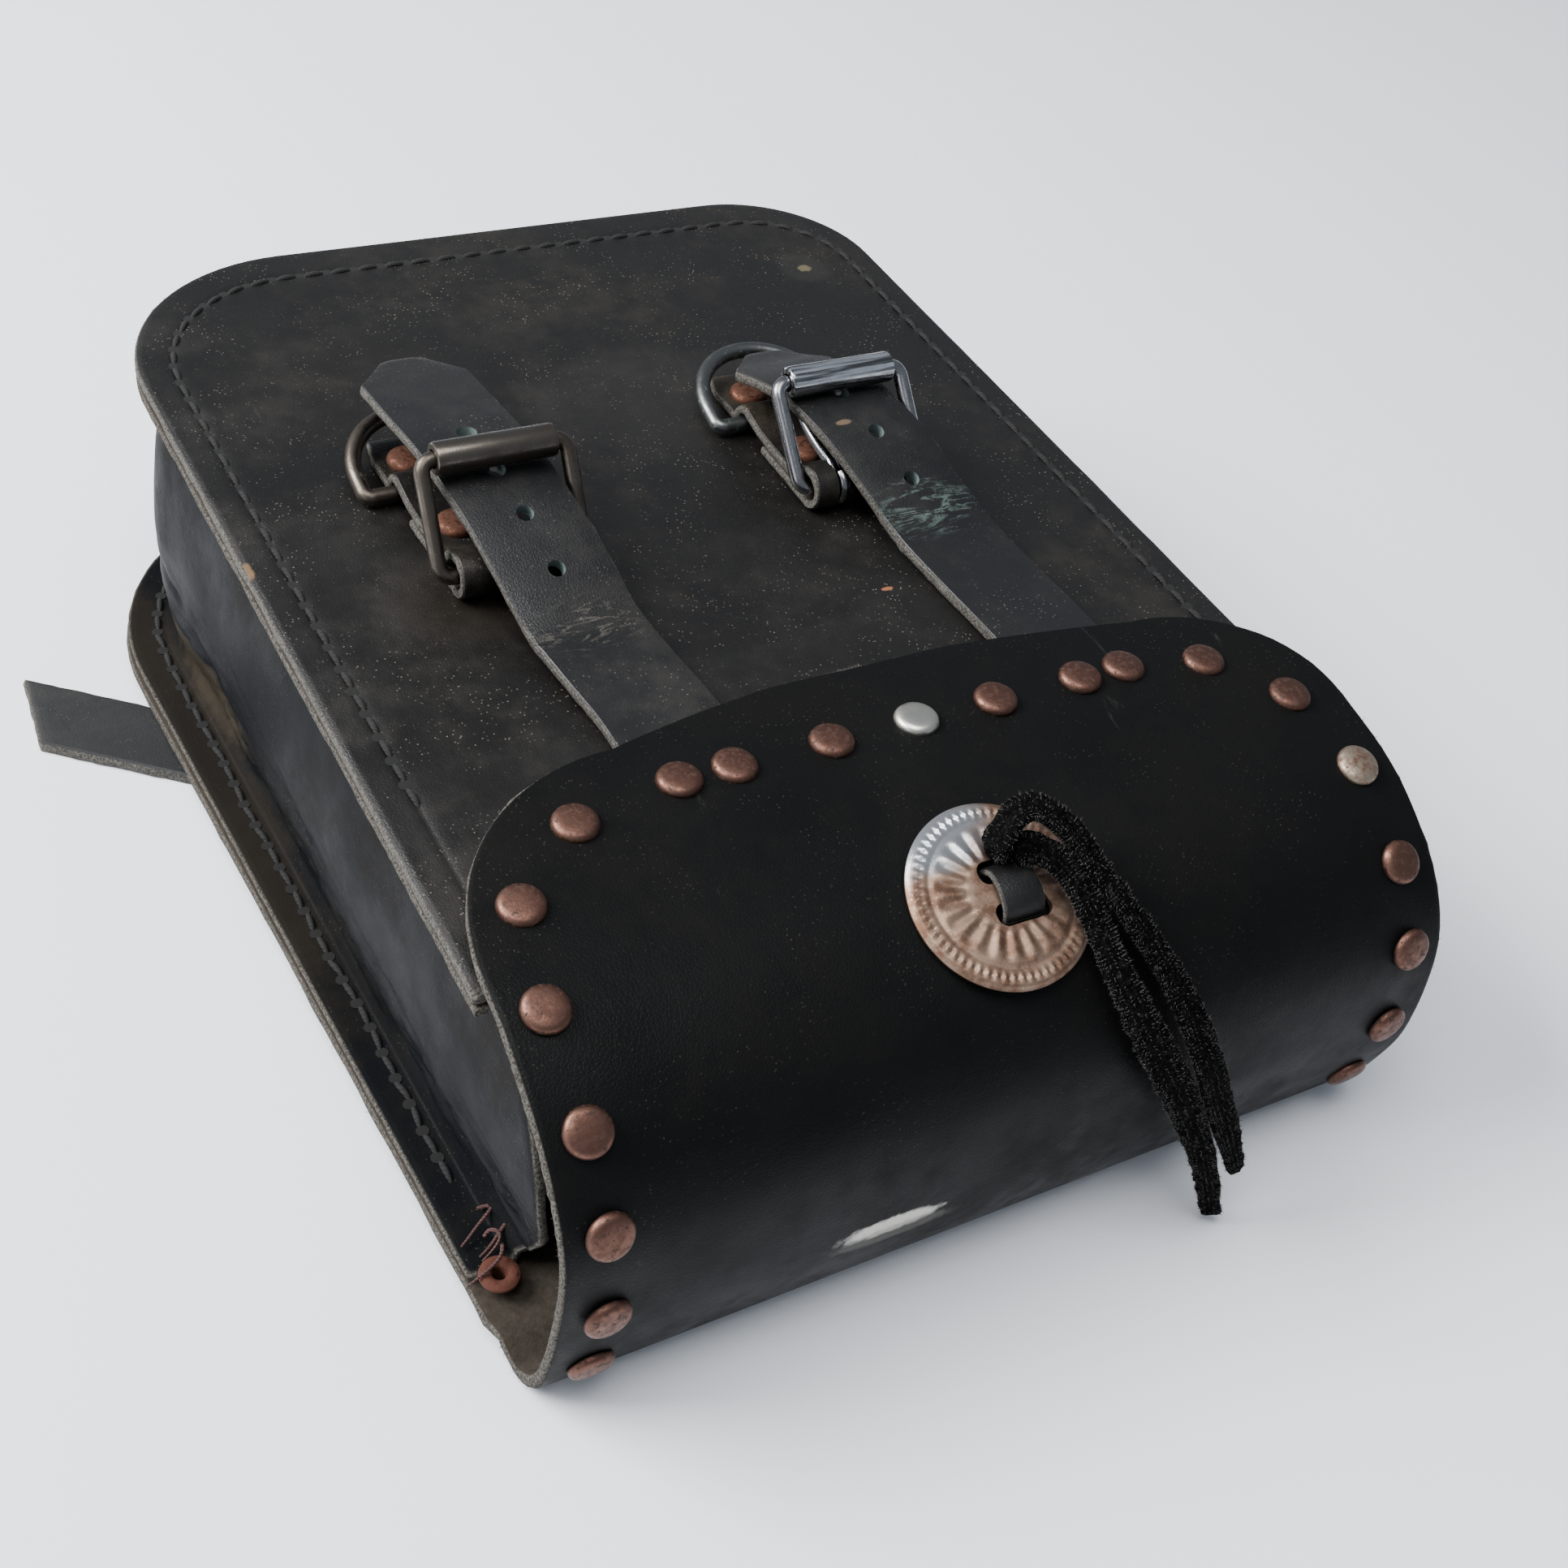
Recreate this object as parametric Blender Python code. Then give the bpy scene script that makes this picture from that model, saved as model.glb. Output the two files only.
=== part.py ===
"""Small riveted leather saddlebag for a motorcycle, lying on its back panel.

Frame: metres, +Z up.  X runs across the bag, +Y from the lid's fold to the bag's bottom, and the
origin is the centre of the footprint on the surface that the bag lies on.
"""
import math

import bmesh
import bpy
from mathutils import Matrix, Vector

MM = 0.001
GAP = 0.35 * MM                 # clearance between pieces that touch

# Leather thicknesses
SHELL = 3.0 * MM                # back panel, lid and front panel
GUSSET = 2.4 * MM
STRAP = 3.0 * MM
CHAPE = 2.4 * MM
MOUNT_STRAP = 3.0 * MM

# Bag body
Y_SHIFT = 0.3 * MM              # puts the footprint's centre on the origin
FRONT_HALF_WIDTH = 101.5 * MM
FRONT_FAR = 145.0 * MM          # far edge, at the bag's bottom
FRONT_NEAR = -99.0 * MM         # mouth edge, under the lid
FRONT_TOP = 77.0 * MM
CORNER_LEFT = 50.0 * MM
CORNER_RIGHT = 34.0 * MM
BACK_HALF_WIDTH = 114.5 * MM
BACK_FAR = 135.0 * MM
BACK_CORNER = 59.0 * MM
BACK_UNDERSIDE = MOUNT_STRAP + GAP
WALL_NEAR = -112.0 * MM         # gusset's end at the bag's mouth
# The wall's end bulges this far into the lid's fold, between these heights
MOUTH_REACH = 17.0 * MM
MOUTH_LOW = 10.5 * MM
MOUTH_HIGH = 72.0 * MM
WALL_TAPER = 0.905              # the back is this much narrower at the fold than at the bottom

# Lid
HINGE_Y = -124.0 * MM
HINGE_Z = BACK_UNDERSIDE + SHELL / 2
LID_HALF_WIDTH = 102.0 * MM
LID_CENTRE_X = 1.0 * MM
FLAP_CORNER = (44.0 * MM, 34.0 * MM)  # left, right
FLAP_BOW = 7.0 * MM             # how far the flap's edge bulges in its middle
BOW_TIP = 0.044                 # width of the bulge's end, as a share of the straight edge
# Mid-surface of the lid from the hinge, round the fold, to the flap's edge
LID_PROFILE = [
    (-124.0, 4.85), (-127.4, 3.2), (-131.2, 2.3), (-135.4, 6.0), (-138.8, 15.0), (-141.2, 26.0),
    (-141.6, 39.0), (-139.4, 52.0), (-133.0, 63.0), (-124.0, 71.0), (-111.0, 77.6), (-96.0, 81.3),
    (-80.0, 83.1), (-65.0, 83.4), (-50.5, 83.0),
]

# Rivets through the lid: flat domed caps
CAP_RADIUS = 4.7 * MM
CAP_HEIGHT = 1.7 * MM
SHANK_RADIUS = 1.8 * MM
WASHER_RADIUS = 4.0 * MM
WASHER = 0.6 * MM
RIVET_HOLE = SHANK_RADIUS + GAP
# Rivets on each side of the lid, as (distance from the lid's middle on the left, and on the right,
# then y of the lid's upper run, or z on its fold)
SIDE_RIVETS = [(73.0, 75.5, "y", -74.0), (90.0, 88.5, "y", -88.5), (94.0, 92.5, "y", -108.5),
               (94.0, 92.5, "y", -127.5), (93.6, 92.5, "z", 54.0), (93.4, 92.5, "z", 34.0),
               (93.2, 92.5, "z", 14.5)]
FRONT_RIVETS = [-48.5, -36.5, -14.7, 5.2, 24.6, 46.2, 57.6]
STRAP_RIVETS = (8, 9, 13, 14)   # numbers of the lid rivets that also hold the straps
SILVER_RIVETS = (11, 17)
FRONT_RIVET_Y = -70.0 * MM

# Closing straps
STRAP_HALF_WIDTH = 12.5 * MM
STRAP_HOLE_RADIUS = 2.3 * MM
HEAD_CLEARANCE = 0.7 * MM       # a lid rivet's head stands this far off the sheet

# Chapes, buckles and D-rings, in the chape's own frame: its origin is on the heel bar's axis
HEEL_Z = 82.4 * MM
CHAPE_HALF_WIDTH = 11.8 * MM
CHAPE_TAIL = 52.0 * MM
WIRE = 1.75 * MM                # buckle wire radius
FRAME_HALF_WIDTH = 16.5 * MM
FRAME_LENGTH = 24.5 * MM
ROLLER_RADIUS = 3.6 * MM
ROLLER_HALF_LENGTH = 13.6 * MM
PRONG_WIRE = 1.5 * MM
PRONG_LENGTH = 20.5 * MM
NEAR_RIVET = 14.0 * MM
FAR_RIVET = 42.4 * MM
RIVET_PAIR_HALF = 4.9 * MM
RING_Y = 32.0 * MM
RING_WIRE = 1.9 * MM
RING_RADIUS = 16.4 * MM
RING_TILT = 14.0

SIDES = {
    "left": {
        "chape_x": -52.0, "heel_y": 3.5, "frame_x": -50.6, "frame_tilt": 55.0, "tab_shift": 2.5,
        "prong_x": -49.6, "prong_tilt": 18.0, "slot": (-52.6, -44.6), "ring_x": -54.0,
        # strap centre line from its riveted end: x, y, z of its mid-surface
        "strap": [(-42.0, -80.0, 79.7), (-41.6, -70.0, 79.7), (-40.4, -48.0, 79.5), (-42.0, -30.0, 79.6),
                  (-44.0, -18.0, 81.6), (-46.2, -6.0, 87.4), (-48.3, 5.0, 92.9), (-50.0, 15.0, 96.0),
                  (-50.6, 22.0, 96.8), (-51.2, 32.0, 96.6), (-51.8, 45.0, 95.4), (-52.4, 66.0, 93.4)],
        "holes": [30.5, 17.0, 5.5, -6.5],
    },
    "right": {
        "chape_x": 37.0, "heel_y": 10.0, "frame_x": 39.5, "frame_tilt": 45.0, "tab_shift": -0.5,
        "prong_x": 32.6, "prong_tilt": 18.0, "slot": (30.6, 38.6), "ring_x": 35.0,
        "strap": [(52.0, -80.0, 79.7), (52.0, -70.0, 79.7), (52.5, -48.0, 79.4), (51.5, -28.0, 79.2),
                  (49.5, -12.0, 80.8), (47.0, 0.0, 85.4), (43.5, 12.0, 91.0), (40.5, 22.0, 94.0),
                  (39.4, 28.0, 94.4), (38.0, 38.0, 92.6), (37.0, 49.0, 89.0), (36.6, 56.0, 87.4)],
        "holes": [38.0, 25.5, 13.5, 1.5],
    },
}

# Concho and its lace
CONCHO_RADIUS = 19.3 * MM
CONCHO_THICK = 1.1 * MM
CONCHO_DISH = 1.3 * MM
CONCHO_Y = -112.5 * MM
CONCHO_X = -1.0 * MM
SLOT_X = 2.6 * MM               # the slots sit a little to the right of the disc's middle
SLOT_HALF = (5.5 * MM, 2.3 * MM)
SLOT_OFFSET = 4.2 * MM
LACE_HALF_WIDTH = 3.6 * MM
LACE_THICK = 1.9 * MM
LACE_RADIUS = 1.7 * MM
# Centre lines of the two lace tails, from the concho's upper slot to their tips
LACE_TAILS = {
    "lace_tail_1": [(3.2, -108.8, 85.3), (4.3, -110.1, 87.2), (8.1, -112.8, 87.0), (11.3, -118.2, 84.4),
                    (13.6, -125.1, 78.5), (15.6, -133.9, 71.4), (19.4, -141.5, 62.3), (26.1, -147.8, 49.9),
                    (35.7, -151.5, 32.0), (41.2, -153.3, 19.6), (48.1, -153.8, 3.5)],
    "lace_tail_2": [(-0.6, -107.4, 85.7), (0.0, -107.6, 89.5), (3.3, -106.3, 92.4), (8.2, -106.3, 93.1),
                    (13.2, -110.6, 90.5), (16.5, -117.8, 85.7), (22.5, -128.5, 76.9), (28.6, -139.1, 66.2),
                    (32.6, -147.6, 55.0), (38.4, -150.6, 41.5), (44.5, -152.3, 29.0), (49.4, -153.6, 18.1)],
}

# Mounting straps under the back panel
MOUNT_HALF_WIDTH = 10.0 * MM
MOUNT_ANGLE = 37.5
MOUNT_TIP = (137.5 * MM, 78.0 * MM)
MOUNT_LENGTH = 150.0 * MM
MOUNT_RIVETS = [118.0 * MM, 138.0 * MM]     # distances from the tip
MOUNT_HEAD_RADIUS = 4.0 * MM
MOUNT_HEAD_HEIGHT = 0.9 * MM

# Tubular rivets at the bag's mouth
EYELET_POINT = (99.0 * MM, -113.5 * MM)
EYELET_BORE = 1.3 * MM
EYELET_RADIUS = 2.0 * MM
EYELET_ROLL = 4.1 * MM
EYELET_ROLL_HEIGHT = 1.3 * MM

LEATHER = (0.021, 0.020, 0.019)
STEEL = (0.42, 0.42, 0.41)
BRONZED_STEEL = (0.115, 0.095, 0.08)
SILVERED = (0.52, 0.50, 0.46)
RUST = (0.20, 0.085, 0.045)
DARK_RUST = (0.27, 0.10, 0.05)
CONCHO_METAL = (0.33, 0.22, 0.15)


def clear_scene():
    for item in list(bpy.data.objects):
        bpy.data.objects.remove(item, do_unlink=True)


def material(name, colour, roughness, metallic=0.0):
    mat = bpy.data.materials.new(name)
    mat.use_nodes = True
    shader = mat.node_tree.nodes["Principled BSDF"]
    shader.inputs["Base Color"].default_value = (*colour, 1.0)
    shader.inputs["Roughness"].default_value = roughness
    shader.inputs["Metallic"].default_value = metallic
    return mat


def add(name, mesh, look, parent=None, smooth=False):
    """Link a mesh as the named sub-part, and parent it while keeping its place."""
    item = bpy.data.objects.new(name, mesh)
    bpy.context.scene.collection.objects.link(item)
    colour, roughness, metallic = look
    mesh.materials.append(material(name, colour, roughness, metallic))
    if smooth:
        mesh.shade_smooth()
        mesh.set_sharp_from_angle(angle=math.radians(35))
    if parent is not None:
        item.parent = parent
        item.matrix_parent_inverse = parent.matrix_world.inverted()
    return item


def pivot(name, x, y, z):
    empty = bpy.data.objects.new(name, None)
    bpy.context.scene.collection.objects.link(empty)
    empty.location = (x, y, z)
    bpy.context.view_layer.update()
    return empty


def finish_mesh(name, bm):
    bmesh.ops.recalc_face_normals(bm, faces=bm.faces)
    mesh = bpy.data.meshes.new(name)
    bm.to_mesh(mesh)
    bm.free()
    return mesh


def loft(name, loops):
    """Skin a row of closed loops and cap both ends."""
    bm = bmesh.new()
    rings = [[bm.verts.new(p) for p in loop] for loop in loops]
    for first, second in zip(rings, rings[1:]):
        count = len(first)
        for i in range(count):
            j = (i + 1) % count
            bm.faces.new((first[i], first[j], second[j], second[i]))
    bm.faces.new(rings[0])
    bm.faces.new(rings[-1])
    return finish_mesh(name, bm)


def plate(name, outline, bottom, top):
    """A flat sheet with the given outline."""
    return loft(name, [[(x, y, bottom) for x, y in outline], [(x, y, top) for x, y in outline]])


def turned(name, profile, segments=10):
    """Spin a closed (radius, height) profile about Z, with points on the axis merged."""
    bm = bmesh.new()
    verts = [bm.verts.new((radius, 0.0, height)) for radius, height in profile]
    edges = [bm.edges.new((a, b)) for a, b in zip(verts, verts[1:])]
    bmesh.ops.spin(bm, geom=verts + edges, cent=(0, 0, 0), axis=(0, 0, 1), angle=2 * math.pi,
                   steps=segments, use_duplicate=False)
    bmesh.ops.remove_doubles(bm, verts=bm.verts, dist=1e-6)
    return finish_mesh(name, bm)


def tube(name, points, radius, cyclic=False, resolution=2):
    """A round wire or cord through the points, as a curve with filled caps."""
    curve = bpy.data.curves.new(name, "CURVE")
    curve.dimensions = "3D"
    curve.bevel_depth = radius
    curve.bevel_resolution = resolution
    curve.use_fill_caps = True
    spline = curve.splines.new("POLY")
    spline.points.add(len(points) - 1)
    for slot, p in zip(spline.points, points):
        slot.co = (*p, 1.0)
    spline.use_cyclic_u = cyclic
    return curve


def add_curve(name, curve, look, parent=None):
    item = bpy.data.objects.new(name, curve)
    bpy.context.scene.collection.objects.link(item)
    curve.materials.append(material(name, *look))
    if parent is not None:
        item.parent = parent
        item.matrix_parent_inverse = parent.matrix_world.inverted()
    return item


def smooth_curve(points, per_span):
    """Catmull-Rom curve through the points."""
    knots = [Vector(p) for p in points]
    knots = [2 * knots[0] - knots[1]] + knots + [2 * knots[-1] - knots[-2]]
    out = []
    for a, b, c, d in zip(knots, knots[1:], knots[2:], knots[3:]):
        for step in range(per_span):
            t = step / per_span
            out.append(0.5 * (2 * b + (c - a) * t + (2 * a - 5 * b + 4 * c - d) * t * t
                              + (3 * b - a - 3 * c + d) * t ** 3))
    out.append(knots[-2])
    return out


def millimetres(points):
    return [Vector(p) * MM for p in points]


def corner_arc(cx, cy, radius, start, end, steps):
    """Points of an arc, with its angles in degrees."""
    out = []
    for k in range(steps + 1):
        a = math.radians(start + (end - start) * k / steps)
        out.append((cx + radius * math.cos(a), cy + radius * math.sin(a)))
    return out


def cylinder_cutter(point, direction, radius, length, segments=10):
    """A guide that drills along a direction through a point."""
    bm = bmesh.new()
    turn = Vector(direction).to_track_quat("Z", "Y").to_matrix().to_4x4()
    bmesh.ops.create_cone(bm, cap_ends=True, segments=segments, radius1=radius, radius2=radius,
                          depth=length, matrix=Matrix.Translation(point) @ turn)
    return bm


def box_bm(low, high):
    bm = bmesh.new()
    size = Vector(high) - Vector(low)
    middle = (Vector(high) + Vector(low)) / 2
    bmesh.ops.create_cube(bm, size=1.0, matrix=Matrix.Translation(middle) @ Matrix.Diagonal((*size, 1.0)))
    return bm


def cut(item, cutters):
    """Take the cutters, which don't touch each other, out of the object."""
    bm = bmesh.new()
    for cutter in cutters:
        piece = bpy.data.meshes.new("piece")
        cutter.to_mesh(piece)
        cutter.free()
        bm.from_mesh(piece)
    guide = bpy.data.objects.new("cutter_" + item.name, finish_mesh("cutter_" + item.name, bm))
    bpy.context.scene.collection.objects.link(guide)
    guide.hide_render = True
    guide.display_type = "WIRE"
    boolean = item.modifiers.new("holes", "BOOLEAN")
    boolean.operation = "DIFFERENCE"
    boolean.solver = "EXACT"
    boolean.object = guide


def rivet_mesh(name, grip):
    """Cap above z = 0, shank down through the grip, and washer below it."""
    rim = CAP_HEIGHT * 0.24
    profile = [(0, CAP_HEIGHT), (CAP_RADIUS * 0.75, CAP_HEIGHT * 0.75), (CAP_RADIUS, rim),
               (CAP_RADIUS * 0.97, 0.0), (SHANK_RADIUS, 0.0), (SHANK_RADIUS, -grip),
               (WASHER_RADIUS, -grip), (WASHER_RADIUS, -grip - WASHER), (0, -grip - WASHER)]
    return turned(name, profile)


def place(item, point, normal):
    item.matrix_world = Matrix.Translation(point) @ Vector(normal).to_track_quat("Z", "Y").to_matrix().to_4x4()


class Lid:
    """The lid's mid-surface as a curve in the YZ plane."""

    def __init__(self):
        path = smooth_curve([(0.0, y, z) for y, z in LID_PROFILE], 4)
        self.points = [Vector((0.0, p.y * MM, p.z * MM)) for p in path]
        self.length = [0.0]
        for a, b in zip(self.points, self.points[1:]):
            self.length.append(self.length[-1] + (b - a).length)

    def at(self, s):
        """Point and outward normal at an arc length from the hinge."""
        last = len(self.points) - 1
        i = next((k for k in range(last) if self.length[k + 1] >= s), last - 1)
        a, b = self.points[i], self.points[i + 1]
        share = (s - self.length[i]) / (self.length[i + 1] - self.length[i])
        along = (b - a).normalized()
        return a.lerp(b, share), Vector((0.0, -along.z, along.y))

    def find(self, axis, value):
        """Arc length where the upper run reaches y, or the fold reaches z."""
        pick = (lambda p: p.y) if axis == "y" else (lambda p: p.z)
        for i in range(len(self.points) - 1, 0, -1):
            low, high = sorted((pick(self.points[i - 1]), pick(self.points[i])))
            if low <= value <= high and high > low:
                share = (value - pick(self.points[i - 1])) / (pick(self.points[i]) - pick(self.points[i - 1]))
                return self.length[i - 1] + share * (self.length[i] - self.length[i - 1])
        raise ValueError("no point of the lid there")


def strip_loop(point, normal, left, right, thickness):
    """Rectangular section of a sheet, across X."""
    half = normal * thickness / 2
    return [(left, *(point + half).yz), (right, *(point + half).yz),
            (right, *(point - half).yz), (left, *(point - half).yz)]


def flap_rows(lid):
    """Rows across the lid as (arc length, left half-width, right half-width)."""
    end = lid.length[-1] - FLAP_BOW
    rounding = max(FLAP_CORNER)
    stations = [s for s in lid.length if s < end - rounding]
    stations += [end - rounding + rounding * math.sin(math.radians(9 * k)) for k in range(11)]
    rows = []
    for s in stations:
        halves = []
        for corner in FLAP_CORNER:
            into = max(s - (end - corner), 0.0) / corner
            halves.append(LID_HALF_WIDTH - corner + corner * math.sqrt(max(1 - into * into, 0.0)))
        rows.append((s, *halves))
    left, right = (LID_HALF_WIDTH - corner for corner in FLAP_CORNER)
    for k in range(1, 7):
        share = k / 6
        width = math.sqrt(1 - share) * (1 - BOW_TIP) + BOW_TIP
        rows.append((end + FLAP_BOW * share, left * width, right * width))
    return rows


def build_lid(lid, hinge):
    """The lid's sheet, round at the flap's corners and bowed at its edge."""
    loops = []
    for s, left, right in flap_rows(lid):
        point, normal = lid.at(min(s, lid.length[-1]))
        if s == 0.0:
            normal = Vector((0.0, 0.0, -1.0))
        loops.append(strip_loop(point, normal, LID_CENTRE_X - left, LID_CENTRE_X + right, SHELL))
    return add("lid_panel", loft("lid_panel", loops), (LEATHER, 0.42, 0.0), hinge, smooth=True)


def lid_rivet_spots(lid):
    """(x, arc length) of each lid rivet: up the left side, along the flap, down the right side."""
    spots = []
    for left, _, axis, value in reversed(SIDE_RIVETS):
        spots.append((LID_CENTRE_X - left * MM, lid.find(axis, value * MM)))
    for x in FRONT_RIVETS:
        spots.append((x * MM, lid.find("y", FRONT_RIVET_Y)))
    for _, right, axis, value in SIDE_RIVETS:
        spots.append((LID_CENTRE_X + right * MM, lid.find(axis, value * MM)))
    return spots


def build_lid_rivets(lid, lid_item, hinge):
    """Rivets down both sides and along the flap, whose pairs also hold the straps."""
    cutters = []
    strap_cutters = {name: [] for name in SIDES}
    strap_bottom = SIDES["left"]["strap"][1][2] * MM - STRAP / 2
    for number, (x, s) in enumerate(lid_rivet_spots(lid), start=1):
        point, normal = lid.at(s)
        point = Vector((x, point.y, point.z))
        lift = SHELL / 2 + HEAD_CLEARANCE
        grip = SHELL + 2 * HEAD_CLEARANCE
        if number in STRAP_RIVETS:
            grip = lift + point.z - strap_bottom + GAP
            side = "left" if x < 0 else "right"
            strap_cutters[side].append(cylinder_cutter(point, normal, RIVET_HOLE, 24 * MM))
        name = "lid_rivet_%02d" % number
        look = (SILVERED, 0.35, 1.0) if number in SILVER_RIVETS else (RUST, 0.55, 0.85)
        item = add(name, rivet_mesh(name, grip), look, hinge, smooth=True)
        place(item, point + normal * lift, normal)
        cutters.append(cylinder_cutter(point, normal, RIVET_HOLE, 12 * MM))
    cut(lid_item, cutters)
    return strap_cutters


def build_strap(side, hinge, rivet_cutters):
    """A closing strap from its riveted end under the flap to its clipped tip."""
    spec = SIDES[side]
    path = smooth_curve(millimetres(spec["strap"]), 3)
    tip = path[-1].y
    clip = 9.0 * MM
    rows = [p for p in path if p.y < tip - clip - 1.0 * MM]
    rows += [point_at_y(path, tip - clip * share) for share in (1.0, 0.5, 0.0)]
    loops = []
    for i, p in enumerate(rows):
        along = (rows[min(i + 1, len(rows) - 1)] - rows[max(i - 1, 0)]).normalized()
        normal = Vector((0.0, -along.z, along.y)).normalized()
        reach = (tip - p.y) / clip
        half = STRAP_HALF_WIDTH if reach >= 1.0 else STRAP_HALF_WIDTH * (0.3 + 0.7 * reach)
        loops.append(strip_loop(p, normal, p.x - half, p.x + half, STRAP))
    name = "strap_" + side
    item = add(name, loft(name, loops), (LEATHER, 0.5, 0.0), hinge, smooth=True)
    cutters = list(rivet_cutters)
    for y in spec["holes"]:
        p = point_at_y(path, y * MM)
        ahead = point_at_y(path, (y + 2) * MM) - p
        cutters.append(cylinder_cutter(p, (0.0, -ahead.z, ahead.y), STRAP_HOLE_RADIUS, 14 * MM))
    cut(item, cutters)


def point_at_y(path, y):
    for a, b in zip(path, path[1:]):
        if a.y <= y <= b.y:
            return a.lerp(b, (y - a.y) / (b.y - a.y))
    return path[-1]


def chape_profile(shift):
    """Mid-line of the folded leather tab in its own frame: (y, z) from the heel bar's axis."""
    floor = FRONT_TOP + GAP - HEEL_Z + CHAPE / 2
    fold = -floor
    points = [(22.0 * MM + shift, floor), (12.0 * MM, floor), (0.0, floor)]
    for k in range(1, 8):
        a = math.radians(-90 - 180 * k / 8)
        points.append((fold * math.cos(a), fold * math.sin(a)))
    upper = floor + CHAPE + GAP
    points += [(0.0, fold), (4.0 * MM, fold - 1.0 * MM), (7.0 * MM, upper + 0.5 * MM),
               (9.0 * MM, upper), (22.0 * MM + shift, upper), (26.0 * MM + shift, upper + 0.3 * MM)]
    ring = RING_WIRE + GAP + CHAPE / 2
    centre = floor - CHAPE / 2 + RING_WIRE + 0.1 * MM
    middle = RING_Y + shift
    for k in range(5):
        a = math.radians(115 - 100 * k / 4)
        points.append((middle + ring * math.cos(a), centre + ring * math.sin(a)))
    points += [(middle + ring + 0.8 * MM, floor + 0.3 * MM), (middle + ring + 2.0 * MM, floor),
               (CHAPE_TAIL + shift, floor)]
    return [Vector((0.0, y, z)) for y, z in points]


def build_chape(side):
    """Leather tab folded round the heel bar and laid over the D-ring's bar."""
    spec = SIDES[side]
    shift = spec["tab_shift"] * MM
    origin = Vector((0.0, spec["heel_y"] * MM, HEEL_Z))
    line = chape_profile(shift)
    loops = []
    x = spec["chape_x"] * MM
    for i, p in enumerate(line):
        along = (line[min(i + 1, len(line) - 1)] - line[max(i - 1, 0)]).normalized()
        normal = Vector((0.0, -along.z, along.y))
        loops.append(strip_loop(origin + p, normal, x - CHAPE_HALF_WIDTH, x + CHAPE_HALF_WIDTH, CHAPE))
    name = "chape_" + side
    item = add(name, loft(name, loops), (LEATHER, 0.55, 0.0), smooth=True)
    slot_low, slot_high = (edge * MM for edge in spec["slot"])
    low = (slot_low, origin.y - 9 * MM, FRONT_TOP)
    high = (slot_high, origin.y + 9 * MM, HEEL_Z + 9 * MM)
    cutters = [box_bm(low, high)]
    for y in (NEAR_RIVET, FAR_RIVET):
        for sign in (-1, 1):
            point = (x + sign * RIVET_PAIR_HALF, origin.y + y + shift, FRONT_TOP)
            cutters.append(cylinder_cutter(point, (0, 0, 1), RIVET_HOLE, 30 * MM))
    cut(item, cutters)


def build_chape_rivets(side):
    """Two pairs of rivets through the tab and the front panel."""
    spec = SIDES[side]
    x = spec["chape_x"] * MM
    number = 0
    points = []
    for y, layers in ((NEAR_RIVET, 2), (FAR_RIVET, 1)):
        top = FRONT_TOP + layers * (CHAPE + GAP) + 0.25 * MM
        grip = top - (FRONT_TOP - SHELL) + GAP
        for sign in (-1, 1):
            number += 1
            name = "chape_rivet_%s_%d" % (side, number)
            item = add(name, rivet_mesh(name, grip), (DARK_RUST, 0.5, 0.85), smooth=True)
            item.location = (x + sign * RIVET_PAIR_HALF, spec["heel_y"] * MM + y + spec["tab_shift"] * MM, top)
            points.append(item.location.copy())
    return points


def rounded_path(corners, radius, steps=4):
    """Closed flat path through the corners, each turned with an arc."""
    out = []
    count = len(corners)
    for i, corner in enumerate(corners):
        before = (Vector(corners[i - 1]) - Vector(corner)).normalized()
        after = (Vector(corners[(i + 1) % count]) - Vector(corner)).normalized()
        opening = before.angle(after)
        reach = radius / math.tan(opening / 2)
        centre = Vector(corner) + (before + after).normalized() * (radius / math.sin(opening / 2))
        start = Vector(corner) + before * reach - centre
        end = Vector(corner) + after * reach - centre
        for k in range(steps + 1):
            out.append(centre + start.slerp(end, k / steps).normalized() * radius)
    return out


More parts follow.
